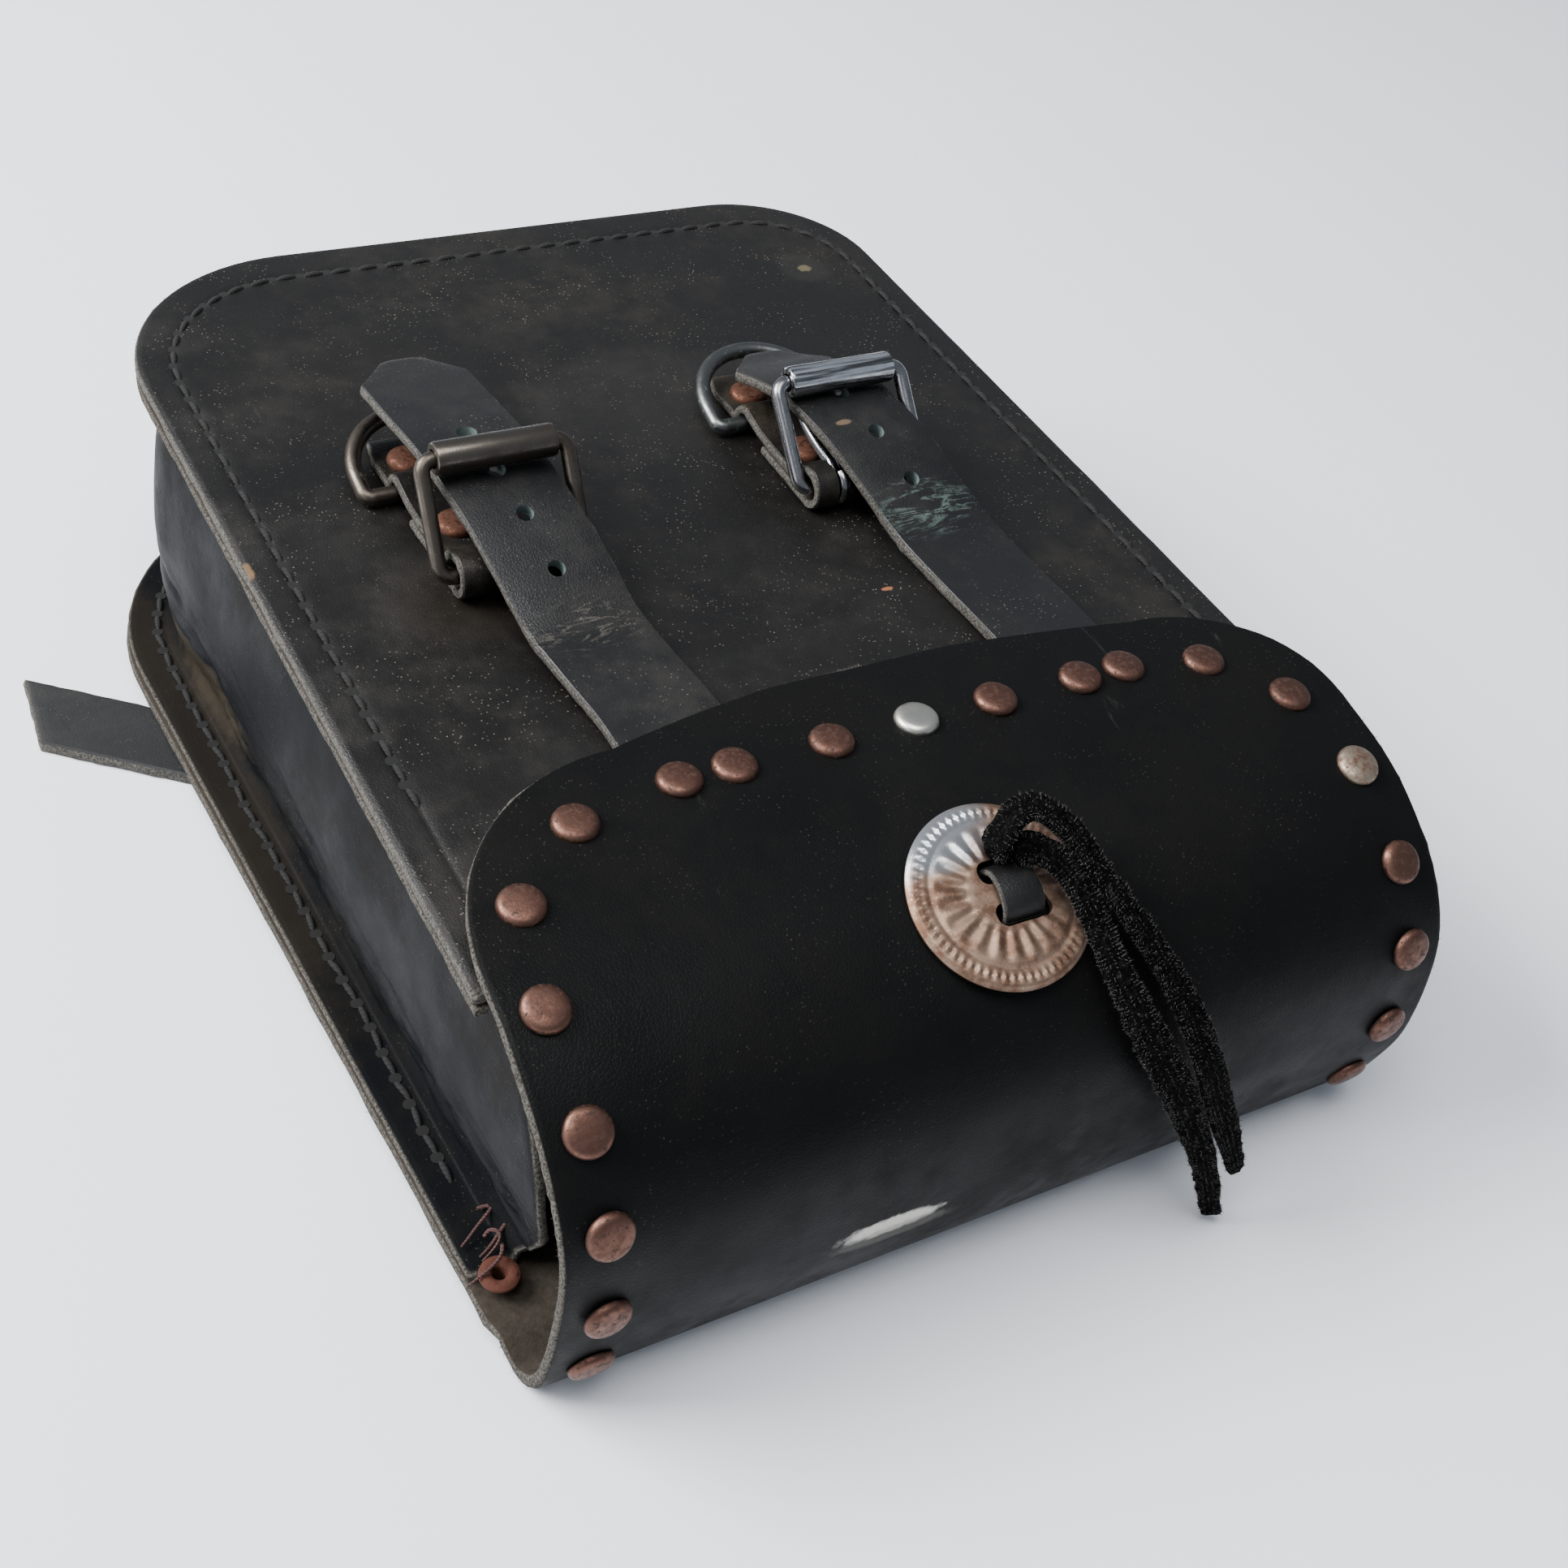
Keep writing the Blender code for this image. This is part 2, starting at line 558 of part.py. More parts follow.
def build_buckle(side, steel):
    """Wire frame, roller and prong, each turning on its own bar."""
    spec = SIDES[side]
    heel = Vector((spec["frame_x"] * MM, spec["heel_y"] * MM, HEEL_Z))
    tilt = math.radians(spec["frame_tilt"])
    w = FRAME_HALF_WIDTH
    outline = rounded_path([(-w, 0, 0), (w, 0, 0), (w, FRAME_LENGTH, 0), (-w, FRAME_LENGTH, 0)], 2.6 * MM)
    frame = add_curve("buckle_frame_" + side, tube("frame", outline, WIRE, cyclic=True),
                      (steel, 0.3, 1.0))
    frame.location = heel
    frame.rotation_euler = (tilt, 0, 0)

    inner = WIRE + GAP
    ring = [(inner, -ROLLER_HALF_LENGTH), (ROLLER_RADIUS, -ROLLER_HALF_LENGTH),
            (ROLLER_RADIUS, ROLLER_HALF_LENGTH), (inner, ROLLER_HALF_LENGTH), (inner, -ROLLER_HALF_LENGTH)]
    roller = add("buckle_roller_" + side, turned("roller", ring, 16), (steel, 0.2, 1.0), smooth=True)
    roller.location = heel + FRAME_LENGTH * Vector((0, math.cos(tilt), math.sin(tilt)))
    roller.rotation_euler = (0, math.radians(90), 0)

    loop = WIRE + PRONG_WIRE + 0.3 * MM
    leave = math.radians(40)
    points = []
    for k in range(13):
        a = math.radians(28 - 300 * k / 12)
        points.append(Vector((0, loop * math.cos(a), loop * math.sin(a))))
    points = points[::-1]
    points[-1] = Vector((0, loop * math.cos(leave), loop * math.sin(leave)))
    reach = PRONG_LENGTH - loop
    for k in range(1, 6):
        share = k / 5
        points.append(Vector((0, loop * math.cos(leave) + reach * share,
                              loop * math.sin(leave) * (1 - share) ** 2)))
    prong = add_curve("buckle_prong_" + side, tube("prong", points, PRONG_WIRE), (steel, 0.28, 1.0))
    prong.location = (spec["prong_x"] * MM, heel.y, heel.z)
    prong.rotation_euler = (math.radians(spec["prong_tilt"]), 0, 0)


def build_ring(side, steel):
    """D-ring: its straight bar lies under the tab and its bow towards the bag's bottom."""
    spec = SIDES[side]
    r = RING_RADIUS
    path = [Vector((-r + 1.2 * MM, 0, 0)), Vector((0, 0, 0)), Vector((r - 1.2 * MM, 0, 0)),
            Vector((r, 1.2 * MM, 0)), Vector((r, 5 * MM, 0))]
    for k in range(1, 12):
        a = math.radians(180 * k / 12)
        path.append(Vector((r * math.cos(a), 6 * MM + r * math.sin(a), 0)))
    path += [Vector((-r, 5 * MM, 0)), Vector((-r, 1.2 * MM, 0))]
    ring = add_curve("d_ring_" + side, tube("ring", path, RING_WIRE, cyclic=True),
                     (steel, 0.35, 1.0))
    ring.location = (spec["ring_x"] * MM, spec["heel_y"] * MM + RING_Y + spec["tab_shift"] * MM,
                     FRONT_TOP + GAP + RING_WIRE + 0.1 * MM)
    ring.rotation_euler = (math.radians(RING_TILT), 0, 0)


def front_outline():
    w = FRONT_HALF_WIDTH
    far = FRONT_FAR
    left = CORNER_LEFT
    right = CORNER_RIGHT
    return ([(w, FRONT_NEAR)] + corner_arc(w - right, far - right, right, 0, 90, 8)
            + corner_arc(-w + left, far - left, left, 90, 180, 8) + [(-w, FRONT_NEAR)])


def taper(y):
    """Share of the back's full width at a distance along the bag."""
    share = (BACK_FAR - y) / (BACK_FAR - HINGE_Y)
    return 1 + (WALL_TAPER - 1) * min(max(share, 0), 1)


def back_outline():
    w = BACK_HALF_WIDTH
    r = BACK_CORNER
    path = ([(w, HINGE_Y + GAP)] + corner_arc(w - r, BACK_FAR - r, r, 0, 90, 8)
            + corner_arc(-w + r, BACK_FAR - r, r, 90, 180, 8) + [(-w, HINGE_Y + GAP)])
    return [(x * taper(y), y) for x, y in path]


def mouth_reach(z):
    """How far the wall runs into the lid's fold at one height: most at half height, none at its flanges."""
    into = min(max((z - MOUTH_LOW) / (MOUTH_HIGH - MOUTH_LOW), 0), 1)
    return MOUTH_REACH * math.sin(math.pi * into)


def wall_path(z, inset):
    """The gusset's path at one height: it changes from the front's outline to the back's."""
    share = (FRONT_TOP - z) / (FRONT_TOP - BACK_UNDERSIDE)
    w = FRONT_HALF_WIDTH + (BACK_HALF_WIDTH - FRONT_HALF_WIDTH) * share - inset
    far = FRONT_FAR + (BACK_FAR - FRONT_FAR) * share - inset
    left = CORNER_LEFT + (BACK_CORNER - CORNER_LEFT) * share - inset
    right = CORNER_RIGHT + (BACK_CORNER - CORNER_RIGHT) * share - inset
    near = FRONT_NEAR + (WALL_NEAR - FRONT_NEAR) * share - mouth_reach(z)
    path = [(w, near), (w, near * 0.3 + far * 0.2)] + corner_arc(w - right, far - right, right, 0, 90, 6)
    path += corner_arc(-w + left, far - left, left, 90, 180, 6) + [(-w, near * 0.3 + far * 0.2), (-w, near)]
    return [(x * (1 + (taper(y) - 1) * share), y, z) for x, y in path]


def build_gusset():
    """U-shaped wall whose two edges turn outwards under the front panel and onto the back."""
    top = FRONT_TOP - SHELL - GAP - GUSSET / 2
    bottom = BACK_UNDERSIDE + SHELL + GAP + GUSSET / 2
    # (inset from the outline at that height, height) along the wall's mid-surface
    line = [(0.2 * MM, top), (4.6 * MM, top), (6.6 * MM, top - 1.6 * MM), (6.9 * MM, top - 6 * MM),
            (6.0 * MM, 56 * MM), (6.2 * MM, 42 * MM), (7.6 * MM, 28 * MM), (9.8 * MM, 17 * MM),
            (11.4 * MM, bottom + 4 * MM), (10.6 * MM, bottom + 1.1 * MM), (8.4 * MM, bottom),
            (0.2 * MM, bottom)]
    outer = []
    inner = []
    for i, (inset, z) in enumerate(line):
        before = Vector(line[max(i - 1, 0)])
        after = Vector(line[min(i + 1, len(line) - 1)])
        along = (after - before).normalized()
        half = GUSSET / 2
        outer.append((inset + along.y * half, z - along.x * half))
        inner.append((inset - along.y * half, z + along.x * half))
    section = outer + inner[::-1]
    columns = [wall_path(z, inset) for inset, z in section]
    loops = [list(row) for row in zip(*columns)]
    add("gusset", loft("gusset", loops), (LEATHER, 0.35, 0.0), smooth=True)


def build_concho(lid, hinge):
    """Shallow dished disc with two lace slots, and the lace's loop over the bar between them."""
    point, normal = lid.at(lid.find("y", CONCHO_Y))
    r = CONCHO_RADIUS
    t = CONCHO_THICK
    dish = CONCHO_DISH
    profile = [(0, dish + t), (r * 0.45, dish * 0.92 + t), (r * 0.8, dish * 0.46 + t), (r * 0.97, t * 0.8),
               (r, t * 0.4), (r * 0.97, 0.0), (r * 0.8, dish * 0.46), (r * 0.45, dish * 0.92), (0, dish)]
    item = add("concho", turned("concho", profile, 28), (CONCHO_METAL, 0.4, 0.9), hinge, smooth=True)
    seat = Vector((CONCHO_X, point.y, point.z)) + normal * (SHELL / 2 + GAP)
    side = Vector((1, 0, 0))
    up = normal.cross(side)
    stand = Matrix.Translation(seat) @ Matrix((side, up, normal)).transposed().to_4x4()
    item.matrix_world = stand
    cutters = []
    for sign in (-1, 1):
        bm = box_bm((SLOT_X - SLOT_HALF[0], sign * SLOT_OFFSET - SLOT_HALF[1], -3 * MM),
                    (SLOT_X + SLOT_HALF[0], sign * SLOT_OFFSET + SLOT_HALF[1], 6 * MM))
        bmesh.ops.transform(bm, matrix=stand, verts=bm.verts)
        cutters.append(bm)
    cut(item, cutters)

    bridge = dish + t + GAP + LACE_THICK / 2
    half_line = [(SLOT_OFFSET, dish), (SLOT_OFFSET * 0.8, bridge * 0.74), (1.7 * MM, bridge)]
    line = [(-y, z) for y, z in half_line] + half_line[::-1]
    loops = []
    for i, (y, z) in enumerate(line):
        before = Vector(line[max(i - 1, 0)])
        after = Vector(line[min(i + 1, len(line) - 1)])
        along = (after - before).normalized()
        tilt = Vector((0, -along.y, along.x))
        loops.append([stand @ Vector(corner) for corner in
                      strip_loop(Vector((0, y, z)), tilt, SLOT_X - LACE_HALF_WIDTH,
                                 SLOT_X + LACE_HALF_WIDTH, LACE_THICK)])
    add("lace_loop", loft("lace_loop", loops), (LEATHER, 0.6, 0.0), hinge, smooth=True)


def build_lace_tails(hinge):
    for name, points in LACE_TAILS.items():
        line = smooth_curve(millimetres(points), 2)
        add_curve(name, tube(name, line, LACE_RADIUS), (LEATHER, 0.9, 0.0), hinge)


def mounting_rivet_points(side_sign):
    """Where the two rivets of one mounting strap stand."""
    angle = math.radians(MOUNT_ANGLE)
    along = Vector((math.cos(angle), math.sin(angle), 0))
    spots = [Vector((*MOUNT_TIP, 0)) - along * back for back in MOUNT_RIVETS]
    return [Vector((side_sign * spot.x, spot.y, 0)) for spot in spots]


def build_mounting_straps():
    """Two straps riveted under the back panel, whose cut ends stick out at the sides."""
    angle = math.radians(MOUNT_ANGLE)
    along = Vector((math.cos(angle), math.sin(angle), 0))
    across = Vector((-along.y, along.x, 0))
    tip = Vector((*MOUNT_TIP, 0))
    slant = MOUNT_HALF_WIDTH * math.tan(angle) * 0.8
    root = tip - along * MOUNT_LENGTH
    corners = [tip + across * MOUNT_HALF_WIDTH + along * slant,
               tip - across * MOUNT_HALF_WIDTH - along * slant,
               root - across * MOUNT_HALF_WIDTH, root + across * MOUNT_HALF_WIDTH]
    top = BACK_UNDERSIDE + SHELL + GAP
    grip = top - 1.2 * MM
    profile = [(0, MOUNT_HEAD_HEIGHT), (MOUNT_HEAD_RADIUS * 0.85, MOUNT_HEAD_HEIGHT * 0.9),
               (MOUNT_HEAD_RADIUS, 0.0), (SHANK_RADIUS, 0.0), (SHANK_RADIUS, -grip), (0, -grip)]
    for side, sign in (("left", -1), ("right", 1)):
        outline = [(sign * c.x, c.y) for c in corners]
        name = "mounting_strap_" + side
        item = add(name, plate(name, outline, 0.0, MOUNT_STRAP), (LEATHER, 0.7, 0.0))
        cutters = []
        for number, spot in enumerate(mounting_rivet_points(sign), start=1):
            rivet = "mounting_rivet_%s_%d" % (side, number)
            piece = add(rivet, turned(rivet, profile), (RUST, 0.55, 0.85), smooth=True)
            piece.location = (spot.x, spot.y, top)
            cutters.append(cylinder_cutter(spot, (0, 0, 1), RIVET_HOLE, 40 * MM))
        cut(item, cutters)


def build_eyelets():
    """Tubular rivets through the gusset's flange and the back panel at the bag's mouth."""
    low = BACK_UNDERSIDE + 0.6 * MM
    top = BACK_UNDERSIDE + SHELL + GUSSET + 2 * GAP
    crown = top + EYELET_ROLL_HEIGHT
    profile = [(EYELET_BORE, low), (EYELET_RADIUS, low), (EYELET_RADIUS, top), (EYELET_ROLL * 0.97, top),
               (EYELET_ROLL, top + EYELET_ROLL_HEIGHT * 0.46), (EYELET_ROLL * 0.64, crown),
               (EYELET_BORE, top + EYELET_ROLL_HEIGHT * 0.7), (EYELET_BORE, low)]
    cutters = []
    for side, sign in (("left", -1), ("right", 1)):
        name = "tubular_rivet_" + side
        item = add(name, turned(name, profile, 14), (RUST, 0.6, 0.8), smooth=True)
        item.location = (sign * EYELET_POINT[0], EYELET_POINT[1], 0)
        cutters.append(cylinder_cutter(item.location, (0, 0, 1), EYELET_RADIUS + GAP, 40 * MM))
    return cutters


def main():
    clear_scene()
    lid = Lid()
    hinge = pivot("lid_hinge_axis", 0, HINGE_Y, HINGE_Z)

    back = add("back_panel", plate("back_panel", back_outline(), BACK_UNDERSIDE, BACK_UNDERSIDE + SHELL),
               (LEATHER, 0.5, 0.0))
    build_gusset()
    front = add("front_panel", plate("front_panel", front_outline(), FRONT_TOP - SHELL, FRONT_TOP),
                (LEATHER, 0.5, 0.0))

    back_cutters = build_eyelets()
    for sign in (-1, 1):
        for spot in mounting_rivet_points(sign):
            back_cutters.append(cylinder_cutter(spot, (0, 0, 1), RIVET_HOLE, 20 * MM))
    cut(back, back_cutters)

    lid_item = build_lid(lid, hinge)
    strap_cutters = build_lid_rivets(lid, lid_item, hinge)
    front_cutters = []
    steels = {"left": BRONZED_STEEL, "right": STEEL}
    for side in SIDES:
        build_strap(side, hinge, strap_cutters[side])
        build_chape(side)
        for point in build_chape_rivets(side):
            front_cutters.append(cylinder_cutter(point, (0, 0, 1), RIVET_HOLE, 30 * MM))
        build_buckle(side, steels[side])
        build_ring(side, steels[side])
    cut(front, front_cutters)

    build_concho(lid, hinge)
    build_lace_tails(hinge)
    build_mounting_straps()

    bpy.context.view_layer.update()
    for item in bpy.data.objects:
        if item.parent is None:
            item.location.y += Y_SHIFT


main()
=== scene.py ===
"""Looks of the riveted leather saddlebag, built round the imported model.

Every mesh is made in place, in metres in the model's frame, so a material's object coordinates are the
bag's own: X across it, +Y from the lid's fold to the bag's bottom, +Z up out of the front panel.
"""
import math

import bmesh
import bpy
import numpy as np
from mathutils import Matrix, Vector


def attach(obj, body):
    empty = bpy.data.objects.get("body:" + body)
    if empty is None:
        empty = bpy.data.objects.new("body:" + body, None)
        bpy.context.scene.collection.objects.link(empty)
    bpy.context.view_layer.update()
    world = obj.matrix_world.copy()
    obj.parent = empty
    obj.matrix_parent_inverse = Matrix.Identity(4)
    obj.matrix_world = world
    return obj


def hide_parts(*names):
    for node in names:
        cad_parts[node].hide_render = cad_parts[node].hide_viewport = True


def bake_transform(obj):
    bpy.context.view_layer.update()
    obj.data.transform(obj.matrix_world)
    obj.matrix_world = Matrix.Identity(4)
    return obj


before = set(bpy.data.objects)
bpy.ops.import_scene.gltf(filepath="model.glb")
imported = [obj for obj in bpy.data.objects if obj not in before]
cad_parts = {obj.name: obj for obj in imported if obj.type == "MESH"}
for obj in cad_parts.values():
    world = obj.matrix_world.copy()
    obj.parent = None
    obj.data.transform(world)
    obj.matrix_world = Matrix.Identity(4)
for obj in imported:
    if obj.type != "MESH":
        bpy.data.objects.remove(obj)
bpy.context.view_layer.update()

MM = 0.001
SHIFT = 0.3                     # mm along Y, from the bag's own measures to the frame

# The bag's measures, in millimetres, as the solids have them
SHELL = 3.0
GUSSET = 2.4
STRAP = 3.0
CHAPE = 2.4
GAP = 0.35                      # between parts that lie on each other
FRONT_TOP = 77.0
FRONT_HALF = 101.5
FRONT_FAR = 145.0
FRONT_NEAR = -99.0
FRONT_CORNERS = (48.0, 34.0)
BACK_HALF = 114.5
BACK_FAR = 135.0
BACK_CORNER = 59.0
BACK_UNDER = 3.35
BACK_MIDDLE_Z = 4.85
FLANGE_TOP = BACK_UNDER + SHELL + GAP + GUSSET
HINGE_Y = -124.0
WALL_NEAR = -112.0
MOUTH_REACH = 17.0
MOUTH_LOW = 10.5
MOUTH_HIGH = 72.0
WALL_TAPER = 0.905
LID_HALF = 102.0
LID_CENTRE = 1.0
FLAP_CORNERS = (44.0, 34.0)
FLAP_BOW = 7.0
LID_PROFILE = [
    (-124.0, 4.85), (-127.4, 3.2), (-131.2, 2.3), (-135.4, 6.0), (-138.8, 15.0), (-141.2, 26.0),
    (-141.6, 39.0), (-139.4, 52.0), (-133.0, 63.0), (-124.0, 71.0), (-111.0, 77.6), (-96.0, 81.3),
    (-80.0, 83.1), (-65.0, 83.4), (-50.5, 83.0),
]
STRAP_HALF = 12.5
HOLE_RADIUS = 2.25
CHAPE_HALF = 11.8
HEEL_Z = 82.4
WIRE = 1.75
FRAME_HALF = 16.5
FRAME_LENGTH = 24.5
PRONG_WIRE = 1.5
RING_WIRE = 1.9
RING_RADIUS = 16.4
RING_Y = 32.0
SIDES = {
    "left": {
        "chape_x": -52.0, "heel_y": 3.5, "frame_x": -50.6, "frame_tilt": 55.0, "tab_shift": 2.5,
        "prong_x": -49.6, "prong_tilt": 18.0, "slot": (-52.6, -44.6), "ring_x": -54.0,
        "strap": [(-42.0, -80.0, 79.7), (-41.6, -70.0, 79.7), (-40.4, -48.0, 79.5), (-42.0, -30.0, 79.6),
                  (-44.0, -18.0, 81.6), (-46.2, -6.0, 87.4), (-48.3, 5.0, 92.9), (-50.0, 15.0, 96.0),
                  (-50.6, 22.0, 96.8), (-51.2, 32.0, 96.6), (-51.8, 45.0, 95.4), (-52.4, 66.0, 93.4)],
        "holes": [30.5, 17.0, 5.5, -6.5], "crease": -18.0,
    },
    "right": {
        "chape_x": 37.0, "heel_y": 10.0, "frame_x": 39.5, "frame_tilt": 45.0, "tab_shift": -0.5,
        "prong_x": 32.6, "prong_tilt": 18.0, "slot": (30.6, 38.6), "ring_x": 35.0,
        "strap": [(52.0, -80.0, 79.7), (52.0, -70.0, 79.7), (52.5, -48.0, 79.4), (51.5, -28.0, 79.2),
                  (49.5, -12.0, 80.8), (47.0, 0.0, 85.4), (43.5, 12.0, 91.0), (40.5, 22.0, 94.0),
                  (39.4, 28.0, 94.4), (38.0, 38.0, 92.6), (37.0, 49.0, 89.0), (36.6, 56.0, 87.4)],
        "holes": [38.0, 25.5, 13.5, 1.5], "crease": -4.0,
    },
}
LACE_TAILS = {
    "lace_tail_1": [(3.2, -108.8, 85.3), (4.3, -110.1, 87.2), (8.1, -112.8, 87.0), (11.3, -118.2, 84.4),
                    (13.6, -125.1, 78.5), (15.6, -133.9, 71.4), (19.4, -141.5, 62.3), (26.1, -147.8, 49.9),
                    (35.7, -151.5, 32.0), (41.2, -153.3, 19.6), (48.1, -153.8, 3.5)],
    "lace_tail_2": [(-0.6, -107.4, 85.7), (0.0, -107.6, 89.5), (3.3, -106.3, 92.4), (8.2, -106.3, 93.1),
                    (13.2, -110.6, 90.5), (16.5, -117.8, 85.7), (22.5, -128.5, 76.9), (28.6, -139.1, 66.2),
                    (32.6, -147.6, 55.0), (38.4, -150.6, 41.5), (44.5, -152.3, 29.0), (49.4, -153.6, 18.1)],
}
# Where the lid's fold ends, in metres, above the side rivets on the fold: rivets below its height get the
# body fold
BEND_END = (0.0, -0.12, 0.058)
LACE_WIDTH = 7.2
LACE_FACING = np.array([-0.46, -0.62, 0.64])    # the way the lace's flat side looks
STITCH = 7.0
CONCHO_RADIUS = 19.3
LACE_SLOT_X = 2.6
MOUNT_HALF = 10
# Side rivets as (left and right distance from the lid's middle, axis, y of the upper run or z on the fold)
SIDE_RIVETS = [(73.0, 75.5, "y", -74.0), (90.0, 88.5, "y", -88.5), (94.0, 92.5, "y", -108.5),
               (94.0, 92.5, "y", -127.5), (93.6, 92.5, "z", 54.0), (93.4, 92.5, "z", 34.0),
               (93.2, 92.5, "z", 14.5)]
FRONT_RIVETS = [-48.5, -36.5, -14.7, 5.2, 24.6, 46.2, 57.6]
STRAP_RIVETS = (8, 9, 13, 14)
SILVER_RIVETS = (11, 17)


# ---------------------------------------------------------------- numbers and curves

def hashed(i, j, k, seed):
    n = (i * 73856093) ^ (j * 19349663) ^ (k * 83492791) ^ (seed * 2654435761)
    n = n & 0xFFFFFFFF
    n = (n ^ (n >> 13)) * 1274126177 & 0xFFFFFFFF
    n = (n ^ (n >> 16)) & 0xFFFF
    return n / 32767.5 - 1.0


def noise(points, size, seed=0):
    """Smooth value noise between -1 and 1 whose features are about `size` apart."""
    q = np.asarray(points, float) / size + 1000.0
    base = np.floor(q).astype(np.int64)
    f = q - base
    f = f * f * (3 - 2 * f)
    total = 0.0
    for a in (0, 1):
        for b in (0, 1):
            for c in (0, 1):
                weight = (f[..., 0] if a else 1 - f[..., 0]) * (f[..., 1] if b else 1 - f[..., 1])
                weight = weight * (f[..., 2] if c else 1 - f[..., 2])
                total = total + weight * hashed(base[..., 0] + a, base[..., 1] + b, base[..., 2] + c, seed)
    return total


def rough(points, size, seed=0, octaves=3):
    total = 0.0
    for k in range(octaves):
        total = total + noise(points, size / 2 ** k, seed + 7 * k) / 2 ** k
    return total


def catmull(points, per_span):
    knots = [np.array(p, float) for p in points]
    knots = [2 * knots[0] - knots[1]] + knots + [2 * knots[-1] - knots[-2]]
    out = []
    for a, b, c, d in zip(knots, knots[1:], knots[2:], knots[3:]):
        for step in range(per_span):
            t = step / per_span
            out.append(0.5 * (2 * b + (c - a) * t + (2 * a - 5 * b + 4 * c - d) * t * t
                              + (3 * b - a - 3 * c + d) * t ** 3))
    out.append(knots[-2])
    return np.array(out)


def lengths(points):
    steps = np.linalg.norm(np.diff(points, axis=0), axis=1)
    return np.concatenate([[0.0], np.cumsum(steps)])


def resample(points, count):
    """The same polyline with evenly spaced points."""
    s = lengths(points)
    at = np.linspace(0, s[-1], count)
    return np.stack([np.interp(at, s, points[:, k]) for k in range(points.shape[1])], axis=1)


def smoothstep(low, high, value):
    t = np.clip((value - low) / (high - low), 0, 1)
    return t * t * (3 - 2 * t)


def edge_spaced(count, margin):
    """Values from -1 to 1, with two close pairs at the ends for a crisp rim."""
    inner = np.linspace(-1 + margin, 1 - margin, count)
    return np.concatenate([[-1.0, -1 + margin * 0.4], inner, [1 - margin * 0.4, 1.0]])


# ---------------------------------------------------------------- meshes

def tube_faces(count, sides, closed=False):
    """Quads between the rings of a tube whose points are listed ring by ring."""
    faces = []
    for k in range(count if closed else count - 1):
        after = (k + 1) % count
        for a in range(sides):
            b = (a + 1) % sides
            faces.append((k * sides + a, k * sides + b, after * sides + b, after * sides + a))
    return faces


def link(name, mesh):
    item = bpy.data.objects.new(name, mesh)
    bpy.context.scene.collection.objects.link(item)
    return item


def mesh_object(name, verts, faces, attributes=None, angle=40):
    """An object from points in millimetres."""
    mesh = bpy.data.meshes.new(name)
    points = np.asarray(verts, float).reshape(-1, 3) * MM
    mesh.from_pydata([tuple(p) for p in points], [], [tuple(int(i) for i in f) for f in faces])
    for label, values in (attributes or {}).items():
        layer = mesh.attributes.new(label, "FLOAT", "POINT")
        layer.data.foreach_set("value", np.asarray(values, np.float32))
    mesh.validate()
    mesh.shade_smooth()
    mesh.set_sharp_from_angle(angle=math.radians(angle))
    return link(name, mesh)


def grid_normals(grid):
    du = np.gradient(grid, axis=0)
    dv = np.gradient(grid, axis=1)
    n = np.cross(dv, du)
    return n / np.maximum(np.linalg.norm(n, axis=2, keepdims=True), 1e-9)


def normals_towards(grid, i, j, direction):
    """A grid's normals, all turned so that the one at i, j points along the direction."""
    n = grid_normals(grid)
    return n if n[i, j].dot(np.array(direction, float)) > 0 else -n


def facing_up(grid):
    normal = np.zeros_like(grid)
    normal[:, :, 2] = 1.0
    return normal


def boundary(n, m):
    """Indices of a grid's rim, once round."""
    top = [(0, j) for j in range(m)]
    right = [(i, m - 1) for i in range(1, n)]
    bottom = [(n - 1, j) for j in range(m - 2, -1, -1)]
    left = [(i, 0) for i in range(n - 2, 0, -1)]
    return top + right + bottom + left


